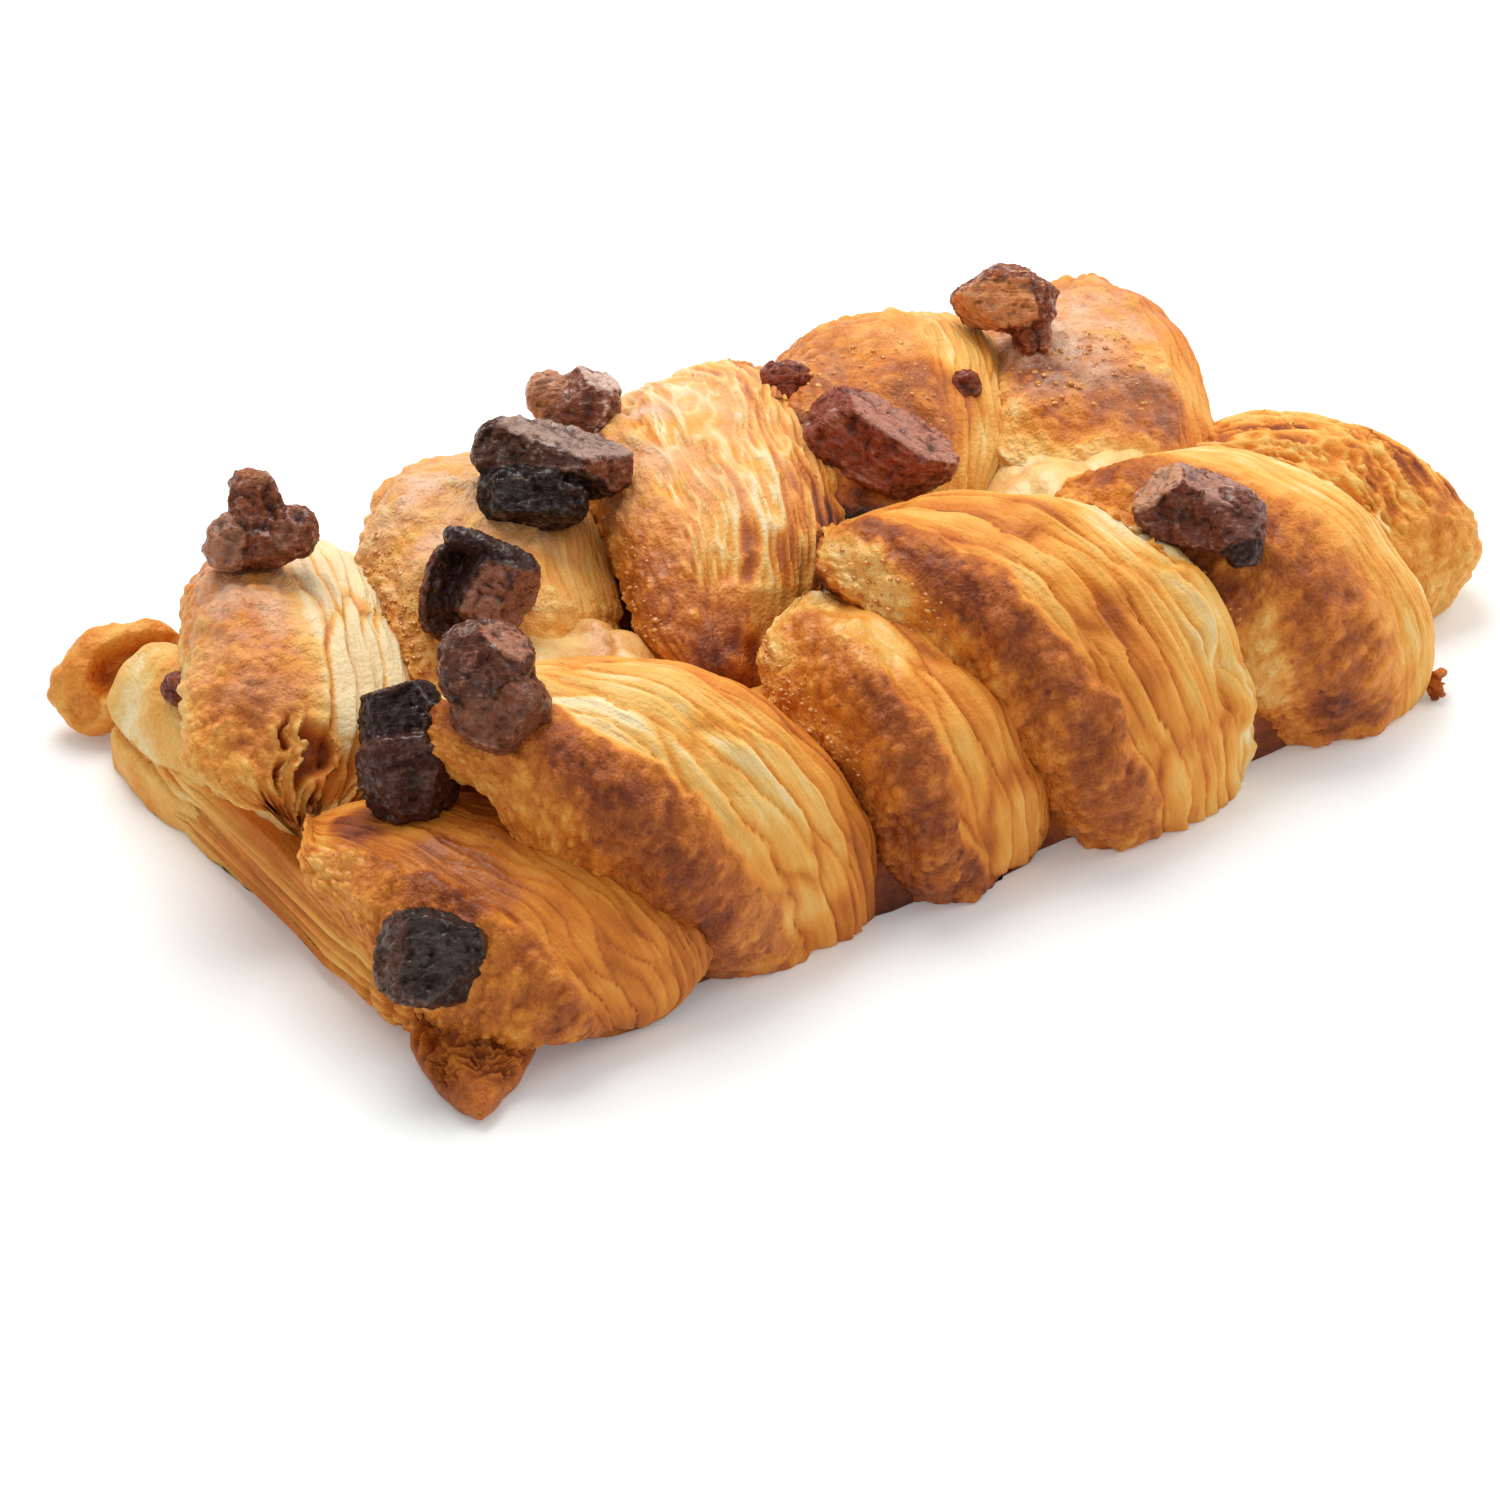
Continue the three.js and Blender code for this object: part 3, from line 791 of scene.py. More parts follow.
@dataclass(frozen=True)
class Skin:
    """Where a strip's relief and baking are read.

    Along and around are shares of the strip's run and girth, run and cross are distances along it and
    across it from the top in mm, and the seed picks the strip's own patterns.
    """

    points: Array
    along: Array
    around: Array
    run: Array
    cross: Array
    seed: int

    def flat(self, run: float, cross: float, pattern: int, shift: Array | float = 0.0) -> Array:
        """Smooth noise over the strip.

        Args:
            run: how long a swelling is, mm.
            cross: how wide it is, mm.
            pattern: which of the strip's patterns.
            shift: what is added to the distance across, mm.

        Returns:
            One value a point.
        """
        return Noise.flat(self.run / run, (self.cross + shift) / cross, self.seed + pattern)

    def rough(self, size: float, octaves: int, pattern: int) -> Array:
        """Several sizes of noise in space, the largest in mm, from one of the strip's patterns."""
        return Noise.rough(self.points, size, octaves, self.seed + pattern)

    def ragged(self) -> Array:
        """The uneven run of the line where the layers open."""
        return self.flat(5.0, 9.0, 0) + 0.5 * self.flat(1.7, 4.0, 1)


@dataclass(frozen=True)
class Patch:
    """A soft patch on a strip.

    It has a middle and a reach along and round, and adds to the bake, the gloss and, in mm, the relief.
    """

    at: Pair
    reach: Pair
    bake: float
    gloss: float = 0.0
    lift: float = 0.0

    def share(self, at: Skin, shake: Array) -> Array:
        """How far each point belongs to the patch.

        Args:
            at: the strip's places.
            shake: what makes the patch's rim uneven.

        Returns:
            Shares from 0 to 1.
        """
        away = np.hypot((at.along - self.at[0]) / self.reach[0], (at.around - self.at[1]) / self.reach[1])
        return 1 - ease(away + shake, 0.45, 1.15)


@dataclass(frozen=True)
class StripLook:
    """How a strip is baked.

    Three values stand for its foot, crest and tip. The edge is where its layers open and the ridge where
    its crust is brownest, both as shares of the way round. Crust, open and ridge_tone say how dark each one
    is, and right is what the right side adds to the layers' tone, as painted light and shade on that side.
    Bulge, the ridge's height, and soft, the width of the edge, are in mm. Begin, shut and torn are shares of
    the run and far_edge is one of the girth.
    """

    layers: Layers
    edge: Triple
    ridge: Triple
    ridge_tone: float
    crust: Triple
    open: Triple
    right: float
    bulge: float
    patches: tuple[Patch, ...] = ()
    torn: float = 1.2
    far_edge: float = 1.2
    shut: float = 1.2
    bloom: float = 0.0
    soft: float = 0.6
    begin: float = -0.2


@dataclass(frozen=True)
class Strip:
    """One strip of dough arched over the filling.

    Three values stand for its foot, crest and tip, and two for its foot and tip. The arch has its middle's
    distance from the seam and its outer and inner reach. It runs from foot_angle to end, in degrees, about
    a middle at the height rise. Sizes are in mm, and blunt is the share of the run where the tip closes.
    """

    name: str
    index: int
    side: Side
    x: Triple
    top: float
    arch: Triple
    end: float
    width: Triple
    depth: Pair
    look: StripLook
    blunt: float = 0.88
    rise: float = 6.0
    foot_angle: float = -32.0
    power: float = 2.3
    rings: int = 160
    segments: int = 280
    LAID: ClassVar[dict[str, tuple[Array, Array, Array]]] = {}  # nets that glaze is scattered on
    FOOT_NET: ClassVar[tuple[Triple, Triple]] = ((0, 0.03, 1), (0, 0.1, 1))  # few rings for the foot
    GIRTH_NET: ClassVar[tuple[tuple, tuple]] = ((0, 0.06, 0.94, 1), (0, 0.18, 0.88, 1))  # and underside

    @property
    def crest(self) -> float:
        """The share of the run where the strip is highest."""
        return (90.0 - self.foot_angle) / (self.end - self.foot_angle)

    @property
    def girth(self) -> float:
        """About how far it is round the strip, mm."""
        return 2.6 * (self.width[1] / 2 + self.depth[0])

    def spine(self, along: Array) -> tuple[Array, Array]:
        """The strip's crest line.

        Args:
            along: shares of the run from the foot.

        Returns:
            Points of the line and outward normals there.
        """
        angle = np.radians(self.foot_angle + (self.end - self.foot_angle) * along)
        height = self.top - self.rise
        mid, outer, inner = self.arch
        reach = np.where(np.cos(angle) > 0, outer, inner)
        sign = self.side.value
        x = through(self.x, along, self.crest)
        y = sign * (mid + reach * np.cos(angle))
        point = np.stack([x, y, self.rise + height * np.sin(angle)], -1)
        normal = np.stack([0 * angle, sign * np.cos(angle) / reach, np.sin(angle) / height], -1)
        return point, normal / np.linalg.norm(normal, axis=-1, keepdims=True)

    def surface(self, along: Array, around: Array) -> Array:
        """The strip's plain rounded form.

        Args:
            along: shares of the run from the foot.
            around: shares of the way round, from the underside over the left and the top.

        Returns:
            Points in the plan, mm.
        """
        point, normal = self.spine(along)
        run = self.spine(np.minimum(1, along + 0.01))[0] - self.spine(np.maximum(0, along - 0.01))[0]
        run /= np.linalg.norm(run, axis=-1, keepdims=True)
        across = np.cross(run, normal)
        across *= np.sign(across[..., :1]) / np.linalg.norm(across, axis=-1, keepdims=True)
        out = np.cross(across, run)
        out *= np.sign(np.sum(out * normal, axis=-1, keepdims=True))
        width = through(self.width, along, self.crest) / 2
        depth = self.depth[0] + (self.depth[1] - self.depth[0]) * ease(along, self.crest * 0.8, 1.0)
        angle = -np.pi / 2 - 2 * np.pi * around
        swell = 0.7 * np.sin(7.3 * along + 1.9 * self.index) * np.sin(2 * np.pi * around + 2.3 * self.index)
        tip = ease(along, self.blunt, 1.0)
        foot = 1 - ease(along, 0.0, 0.08)
        close = np.sqrt(np.maximum(0, 1 - tip**2)) * np.sqrt(np.maximum(0, 1 - foot**2))
        lateral = squared(np.cos(angle), self.power) * (width + 0.5 * swell) * close
        lift = (squared(np.sin(angle), self.power) * (depth + swell) - depth) * close
        return point + across * lateral[..., None] + out * lift[..., None]

    def build(self, material: Material) -> Piece:
        """Models the strip with its crust and opened layers.

        Args:
            material: the dough's finish.

        Returns:
            The piece.
        """
        net = BallNet(self.name, self.rings, self.segments)
        along = np.interp(net.along, *self.FOOT_NET)
        around = np.interp(net.around, *self.GIRTH_NET)
        points = self.surface(along, around)
        steps = np.linalg.norm(np.diff(self.spine(along[:, 0])[0], axis=0), axis=1)
        run = np.concatenate([[0], np.cumsum(steps)])[:, None] + 0 * around
        cross = (around - 0.5) * self.girth
        relief, values = self.skin(Skin(points, along, around, run, cross, 101 * (self.index + 1)))
        moved = BallNet.raised(points, relief)
        self.LAID[self.name] = (moved, along[:, 0], around[0])
        return net.bake(moved, material, (cross, run), **values)

    def skin(self, at: Skin) -> tuple[Array, dict[str, Array]]:
        """The strip's relief and baking.

        Args:
            at: the places on its plain form.

        Returns:
            Relief in mm, and the finish's values by name.
        """
        look = self.look
        ragged = at.ragged()
        past = at.cross - (through(look.edge, at.along, self.crest) - 0.5) * self.girth + 1.3 * ragged
        fibre = self._opened(at, past, ragged)
        ridge = self._ridge(at)
        crusty, crust = self._crust(at, ragged, ridge)
        layered, opened = self._layers(at, past)
        relief = crusty * (1 - fibre) + layered * fibre
        relief += look.bulge * ridge + 0.9 * at.rough(17.0, 2, 14) - 0.45
        bake = crust * (1 - fibre) + opened * fibre
        gloss = 0.25 * (1 - fibre) + 0.08 * fibre
        torn, leaves, leaf_tone = self._torn(at, ragged)
        relief += torn * leaves
        bake = bake * (1 - torn) + torn * leaf_tone
        shake = 0.35 * at.rough(6.0, 3, 12)
        for patch in look.patches:
            share = patch.share(at, shake)
            bake = np.maximum(bake + patch.bake * share, np.minimum(bake, 0.16))
            gloss += patch.gloss * share
            relief += patch.lift * share
        # painted sheen: a pale powdery colour round the top of the crest
        middle = ((at.along - self.crest) / 0.17) ** 2 + ((at.around - 0.45) / 0.14) ** 2
        bloom = look.bloom * np.exp(-middle) * np.clip(0.8 + 0.9 * at.rough(5.0, 3, 19), 0, 1.3)
        fibre = np.maximum(fibre, torn)
        return relief, {"bake": bake, "fibre": fibre, "gloss": np.clip(gloss, 0, 1), "bloom": bloom}

    def _opened(self, at: Skin, past: Array, ragged: Array) -> Array:
        """Where the layers are open.

        Args:
            at: the places on the plain form.
            past: how far each one lies past the edge of the layers, mm.
            ragged: what makes the edge uneven.

        Returns:
            Shares from 0 on closed crust to 1 on open layers.
        """
        look = self.look
        fibre = ease(past, -look.soft, look.soft)
        fibre *= 1 - ease(at.around + 0.03 * ragged, look.far_edge, look.far_edge + 0.05)
        fibre *= 1 - ease(at.along + 0.07 * ragged, look.shut - 0.03, look.shut + 0.09)
        return fibre * ease(at.along + 0.05 * ragged, look.begin, look.begin + 0.1)

    def _ridge(self, at: Skin) -> Array:
        """How far each point belongs to the brown ridge, which fades towards both ends."""
        away = (at.around - through(self.look.ridge, at.along, self.crest)) / 0.055
        return np.exp(-(away**2)) * ease(at.along, 0.1, 0.3) * (1 - ease(at.along, 0.82, 0.98))

    def _crust(self, at: Skin, ragged: Array, ridge: Array) -> tuple[Array, Array]:
        """The closed crust with its blisters and grit.

        Args:
            at: the places on the plain form.
            ragged: what makes the blisters uneven.
            ridge: how far each place belongs to the brown ridge.

        Returns:
            Relief in mm, and how dark the crust is.
        """
        away, _, mark, _ = Noise.cells(at.run / 4.2 + ragged * 0.2, at.cross / 4.2, at.seed + 6)
        blister = np.clip(1 - (away / 0.55) ** 2, 0, 1) ** 1.5 * (mark > 0.55)
        pimple, _, size, _ = Noise.cells(at.run / 1.5 + ragged * 0.3, at.cross / 1.5, at.seed + 13)
        grit = size * np.clip(1 - (pimple / 0.55) ** 2, 0, 1)
        relief = 0.6 * at.rough(7.0, 2, 7) + 0.5 * blister + 0.3 * at.rough(1.6, 2, 8) + 0.45 * grit
        # mostly browner towards the foot, partly as painted shade low on the strips
        tone = through(self.look.crust, at.along, self.crest)
        patchy = np.clip(0.92 + 0.45 * at.rough(4.0, 3, 9), 0, 1.1)
        tone = tone + (self.look.ridge_tone - tone) * ridge * patchy
        # the raised grit is painted paler, a painted highlight on the bumps; blisters are paler as well
        tone += 0.09 * at.rough(2.6, 2, 10) - 0.15 * (grit - 0.2) - 0.12 * blister
        darkest = 0.76
        return relief, np.minimum(tone, darkest + 0.3 * np.maximum(tone - darkest, 0))

    def _layers(self, at: Skin, past: Array) -> tuple[Array, Array]:
        """The opened layers, either standing edges or lapped ropes.

        Args:
            at: the places on the plain form.
            past: how far each one lies past the edge of the layers, mm.

        Returns:
            Relief in mm, and how dark the layers are.
        """
        spacing, stretch, depth, tint, standing = self.look.layers.value
        wave = 1.3 * at.flat(14.0, 8.0, 2) + 0.5 * at.flat(4.5, 2.6, 3)
        fine = at.flat(9.0, 0.75, 15, wave)
        if standing:
            wide = at.flat(spacing * stretch, 1.2 * spacing, 4, wave)
            thin = at.flat(0.5 * spacing * stretch, 0.8 * spacing, 20, wave)
            rib = np.maximum(np.exp(-((wide / 0.15) ** 2)), 0.7 * np.exp(-((thin / 0.12) ** 2)))
            tag, lean = 0.5 + wide, 0.0
            relief = depth * (rib - 0.4 + 0.8 * wide)
        else:
            along, across = at.run / (spacing * stretch), (at.cross + wave) / spacing
            _, gap, tag, lean = Noise.cells(along, across, at.seed + 4)
            rib = ease(gap, 0.0, 0.3)
            relief = depth * (0.5 * rib - 0.35 + 0.9 * lean + 0.9 * (tag - 0.5)) + 0.14 * fine
        relief += 0.5 * at.rough(9.0, 2, 5) - 0.7 * np.exp(-np.maximum(past, 0) / 5.0)
        # right adds painted light and shade to the layers on the strip's right side
        tone = through(self.look.open, at.along, self.crest) + self.look.right * ease(at.around, 0.52, 0.70)
        # tint darkens the sunken gaps as painted shade and lean pales the raised edges as painted light; tag
        # and fine vary the tone at random
        tone += tint * (0.7 - rib) + 0.8 * tint * (tag - 0.5) - tint * lean + 0.06 * fine
        return relief, tone + 0.12 * at.rough(8.0, 2, 11)

    def _torn(self, at: Skin, ragged: Array) -> tuple[Array, Array, Array]:
        """The torn sheets at the tip.

        Args:
            at: the places on the plain form.
            ragged: what makes their start uneven.

        Returns:
            How far each place belongs to them, their relief in mm and how dark they are.
        """
        start = self.look.torn + 0.12 * (1 - ease(at.around, 0.34, 0.50))
        share = ease(at.along + 0.05 * ragged - start, 0.0, 0.04) * ease(at.around, 0.22, 0.30)
        curl = 1.3 * at.flat(6.0, 7.0, 16) + 0.6 * at.flat(1.3, 3.0, 17)
        leaf = at.flat(14.0, 1.4, 18, curl)
        strand = at.flat(9.0, 0.9, 21, curl)
        slit = ease(np.abs(leaf), 0.10, 0.26) * (leaf < 0)
        lip = np.exp(-(((np.abs(leaf) - 0.07) / 0.06) ** 2))
        relief = 0.8 * lip - 2.0 * slit + 0.5 * strand
        # the sunken slits are painted darker and the raised lips paler, as painted shade and light
        return share, relief, 0.38 + 0.34 * slit - 0.14 * lip + 0.24 * strand


STRIPS = (
    Strip(
        "strip_near_1", 0, Side.NEAR, x=(-50, -61, -69), top=19, arch=(20, 22.5, 21), end=138,
        width=(22, 27, 17), depth=(9, 4.5),
        look=StripLook(
            Layers.FAINT, edge=(0.42, 0.42, 0.36), ridge=(0.34, 0.42, 0.36), ridge_tone=0.64,
            crust=(0.60, 0.47, 0.42), open=(0.52, 0.41, 0.40), right=0.04, bulge=0.5,
            patches=(
                Patch((0.64, 0.46), (0.11, 0.06), 0.14, 0.5),
                # painted shadow under the overhanging edge of strip_near_2
                Patch((0.68, 0.57), (0.12, 0.08), 0.14),
                Patch((0.83, 0.34), (0.07, 0.09), -0.14, 0.6),
                # painted shade below pecan_06
                Patch((0.86, 0.46), (0.07, 0.06), 0.34),
            ),
        ),
    ),
    Strip(
        "strip_near_2", 1, Side.NEAR, x=(-26.5, -45, -57.5), top=30.5, arch=(20, 20, 22), end=142,
        width=(23, 27, 16), depth=(11, 4),
        look=StripLook(
            Layers.FINE, edge=(0.50, 0.46, 0.46), ridge=(0.41, 0.395, 0.40), ridge_tone=0.78,
            crust=(0.56, 0.43, 0.40), open=(0.52, 0.15, 0.20), right=0.24, bulge=1.5,
            patches=(Patch((0.2, 0.46), (0.08, 0.07), -0.06, 0.4),),
        ),
    ),
    Strip(
        "strip_near_3", 2, Side.NEAR, x=(-3, -9, -9), top=25.5, arch=(20, 21.5, 20), end=124,
        width=(22, 22, 20), depth=(10, 5),
        look=StripLook(
            Layers.FINE, edge=(0.50, 0.49, 0.54), ridge=(0.37, 0.43, 0.42), ridge_tone=0.70,
            crust=(0.76, 0.36, 0.20), open=(0.42, 0.32, 0.26), right=0.06, bulge=1.4,
            patches=(
                Patch((0.70, 0.46), (0.09, 0.07), -0.30, 0.8),
                Patch((0.86, 0.42), (0.1, 0.14), -0.12, 0.6),
            ),
        ),
    ),
    Strip(
        "strip_near_4", 3, Side.NEAR, x=(20.5, 8, 1), top=31.5, arch=(20, 23.5, 26), end=138,
        width=(23, 29, 23), depth=(11, 4),
        look=StripLook(
            Layers.FINE, edge=(0.47, 0.45, 0.45), ridge=(0.41, 0.395, 0.40), ridge_tone=0.76,
            crust=(0.56, 0.38, 0.30), open=(0.42, 0.37, 0.36), right=-0.40, bulge=1.6,
            patches=(
                Patch((0.84, 0.32), (0.12, 0.10), -0.42, 0.8),
                Patch((0.96, 0.24), (0.09, 0.11), 0.55),
                Patch((0.36, 0.69), (0.24, 0.09), 0.16, 0.0, 2.2),
            ),
        ),
    ),
    Strip(
        "strip_near_5", 4, Side.NEAR, x=(47, 38, 28), top=26.5, arch=(18, 23, 20), end=146,
        width=(23, 28, 18), depth=(10.5, 4),
        look=StripLook(
            Layers.FAINT, edge=(0.53, 0.53, 0.50), ridge=(0.45, 0.46, 0.44), ridge_tone=0.66,
            crust=(0.46, 0.40, 0.26), open=(0.34, 0.20, 0.20), right=-0.10, bulge=0.8,
            patches=(
                Patch((0.53, 0.34), (0.12, 0.08), 0.30),
                Patch((0.17, 0.44), (0.10, 0.05), 0.24),
                Patch((0.14, 0.5), (0.03, 0.025), 0.24),
                Patch((0.36, 0.35), (0.14, 0.08), -0.24, 0.8),
            ),
            soft=3.0,
        ),
    ),
    Strip(
        "strip_near_6", 5, Side.NEAR, x=(65, 59, 50), top=19.5, arch=(8, 20, 18), end=132,
        width=(14, 20, 18), depth=(8, 5),
        look=StripLook(
            Layers.CELLS, edge=(0.38, 0.38, 0.40), ridge=(0.34, 0.36, 0.36), ridge_tone=0.4,
            crust=(0.26, 0.34, 0.34), open=(0.24, 0.22, 0.26), right=0.08, bulge=0.3,
            patches=(
                Patch((0.72, 0.52), (0.14, 0.06), 0.06),
                Patch((0.55, 0.60), (0.16, 0.05), 0.12),
                Patch((0.40, 0.56), (0.06, 0.12), 0.10),
            ),
            begin=0.36,
        ),
        rings=130, segments=190,
    ),
    Strip(
        "strip_far_1", 6, Side.FAR, x=(-48, -57, -70), top=27.5, arch=(20, 22, 26), end=164,
        width=(18, 24, 24), depth=(11, 4.5),
        look=StripLook(
            Layers.ROPES, edge=(0.50, 0.51, 0.50), ridge=(0.42, 0.42, 0.44), ridge_tone=0.54,
            crust=(0.50, 0.36, 0.34), open=(0.34, -0.05, 0.24), right=0.0, bulge=0.8,
            patches=(
                Patch((1.0, 0.45), (0.05, 0.25), 0.30),
                Patch((0.84, 0.36), (0.06, 0.06), 0.12),
                Patch((0.75, 0.24), (0.2, 0.08), -0.16),
            ),
            torn=0.855, bloom=0.8, soft=2.2,
        ),
        rings=260,
    ),
    Strip(
        "strip_far_2", 7, Side.FAR, x=(-24, -31.5, -41), top=29.5, arch=(21, 20.5, 24), end=168,
        width=(18, 29, 26), depth=(11, 4),
        look=StripLook(
            Layers.FAINT, edge=(0.58, 0.54, 0.52), ridge=(0.42, 0.42, 0.42), ridge_tone=0.38,
            crust=(0.48, 0.26, 0.32), open=(0.44, 0.26, 0.26), right=0.02, bulge=0.6,
            patches=(Patch((0.8, 0.28), (0.1, 0.07), 0.06, 0.9), Patch((0.85, 0.66), (0.12, 0.1), 0.02)),
            bloom=1.1, shut=0.78,
        ),
    ),
    Strip(
        "strip_far_3", 8, Side.FAR, x=(3, -4, -19.5), top=32, arch=(19, 22, 33), end=168,
        width=(18, 29, 20), depth=(11, 4.5),
        look=StripLook(
            Layers.WEB, edge=(0.44, 0.41, 0.42), ridge=(0.32, 0.33, 0.33), ridge_tone=0.46,
            crust=(0.46, 0.32, 0.40), open=(0.34, 0.13, 0.30), right=0.26, bulge=0.5,
            patches=(
                # painted shadow in the gap under pecan_08
                Patch((0.82, 0.65), (0.10, 0.05), 0.45),
                Patch((0.98, 0.55), (0.10, 0.22), 0.32, 0.3),
                Patch((0.88, 0.36), (0.1, 0.14), 0.15, 0.5),
            ),
            far_edge=0.63, shut=0.84, bloom=0.8,
        ),
    ),
    Strip(
        "strip_far_4", 9, Side.FAR, x=(26, 21.5, 5), top=31.2, arch=(20, 21.5, 24), end=166,
        width=(22, 30, 26), depth=(11, 4),
        look=StripLook(
            Layers.FAINT, edge=(0.56, 0.55, 0.54), ridge=(0.42, 0.43, 0.42), ridge_tone=0.54,
            crust=(0.48, 0.34, 0.42), open=(0.42, 0.20, 0.24), right=0.04, bulge=0.6,
            patches=(
                Patch((0.73, 0.54), (0.08, 0.08), 0.30, 0.2),
                # this patch and the next: painted shadow in the gap under pecan_08
                Patch((0.86, 0.32), (0.16, 0.16), 0.40, 0.3),
                Patch((0.97, 0.40), (0.10, 0.20), 0.34, 0.3),
            ),
            bloom=0.2, soft=2.0,
        ),
    ),
    Strip(
        "strip_far_5", 10, Side.FAR, x=(51, 46.5, 36), top=28, arch=(16, 23, 24), end=158,
        width=(20, 29, 30), depth=(11, 4.5),
        look=StripLook(
            Layers.FAINT, edge=(0.58, 0.60, 0.56), ridge=(0.42, 0.42, 0.42), ridge_tone=0.58,
            crust=(0.50, 0.38, 0.10), open=(0.44, 0.36, 0.06), right=0.12, bulge=0.6,
            patches=(
                Patch((0.76, 0.46), (0.08, 0.09), 0.24, 0.7),
                Patch((0.83, 0.52), (0.06, 0.08), 0.34, 0.5),
                Patch((0.88, 0.60), (0.07, 0.07), 0.20),
                Patch((0.95, 0.44), (0.07, 0.2), -0.20, 0.3),
            ),
            bloom=1.1,
        ),
    ),
)


# Base sheet, rolls and tabs


@dataclass(frozen=True)
class BaseSheet:
    """The sheet of dough under the strips, with its layers showing round the edge."""

    length: float = 132.0
    width: float = 70.0
    thickness: float = 9.0
    middle_x: float = -6.0
    edge_round: float = 3.0
    layer: float = 1.1
    square: float = 9.0
    RIMS: ClassVar[tuple[float, ...]] = (0, 0.36, 0.64, 1)  # top's middle and rim, foot's rim and middle

    def build(self, material: Material) -> Piece:
        """Models the sheet.

        Args:
            material: the dough's finish.

        Returns:
            The piece.
        """
        net = BallNet("base_sheet", rings=44, segments=420)
        turn = 2 * np.pi * net.around
        profile = np.interp(net.along, (0, 0.12, 0.88, 1), self.RIMS)
        lift = np.interp(profile, self.RIMS, (1, 1, 0, 0))
        inset = np.interp(profile, self.RIMS, (0, 1, 1, 0))
        round_in = self.edge_round * (1 - np.sqrt(np.clip(1 - (2 * lift - 1) ** 4, 0, 1)))
        x = self.middle_x + (self.length / 2 - round_in) * inset * squared(np.cos(turn), self.square)
        y = (self.width / 2 - round_in) * inset * squared(np.sin(turn), self.square)
        points = np.stack([x, y, self.thickness * lift], -1)
        wave = 0.5 * Noise.rough(points * (1, 1, 2.2), 9.0, 3, 31)
        _, gap, tag, _ = Noise.cells(net.around * 46, points[..., 2] / self.layer + wave, 32)
        rib = ease(gap, 0.0, 0.4)
        side = ease(inset, 0.97, 1.0)
        relief = side * (0.7 * (rib - 0.5) + 0.9 * (tag - 0.5) + 0.7 * Noise.rough(points, 7.0, 2, 33))
        outward = np.stack([np.cos(turn), np.sin(turn), 0 * turn], -1)
        # the sunken lines between the layers are painted darker, as painted shade
        bake = 0.36 + 0.22 * (0.6 - rib) + 0.2 * (tag - 0.5) + 0.16 * Noise.rough(points, 10.0, 2, 34)
        bake += 0.22 * (1 - ease(points[..., 2], 0.0, 3.0))
        bake += 0.55 * ease(points[..., 0], -62.0, -50.0) * (points[..., 1] < 0)  # painted shadow: darker on the near side, where the sheet shows in the shade of the strips' feet
        moved = points + outward * relief[..., None]
        grain = (points[..., 2], net.around * 380.0)
        return net.bake(moved, material, grain, bake=bake, fibre=0.8 * side, gloss=0.1)


@dataclass(frozen=True)
class Roll:
    """A roll of dough that fills the arch under the strips of one side."""

    side: Side
    start: float = -66.0
    stop: float = 58.0
    width: float = 35.0
    top: float = 17.5
    offset: float = 19.5

    def build(self, material: Material) -> Piece:
        """Models the roll.

        Args:
            material: the dough's finish.

        Returns:
            The piece.
        """
        net = BallNet(f"roll_{self.side.name.lower()}", rings=60, segments=48)
        close = np.sqrt(np.maximum(0, 1 - (2 * net.along - 1) ** 6))
        angle = 2 * np.pi * net.around
        points = np.stack(
            [
                self.start + (self.stop - self.start) * net.along,
                self.side.value * self.offset + self.width / 2 * np.sin(angle) * close,
                self.top * np.cos(angle) * close,
            ],
            -1,
        )
        relief = 0.6 * Noise.rough(points, 8.0, 3, 41 + self.side.value) - 0.4
        # darker towards the bottom: painted shade where the roll shows in the gaps between the strips' feet
        bake = 0.42 + 0.15 * Noise.rough(points, 8.0, 2, 43) + 0.36 * (1 - ease(points[..., 2], 2.0, 14.0))
        grain = (angle * 8, points[..., 0])
        return net.bake(BallNet.raised(points, relief), material, grain, bake=bake, fibre=0.5, gloss=0.2)


class TabForm(Enum):
    """How a tab of the sheet is baked."""

    FLANK = "smooth dough with a long crease"
    END = "flaky end"


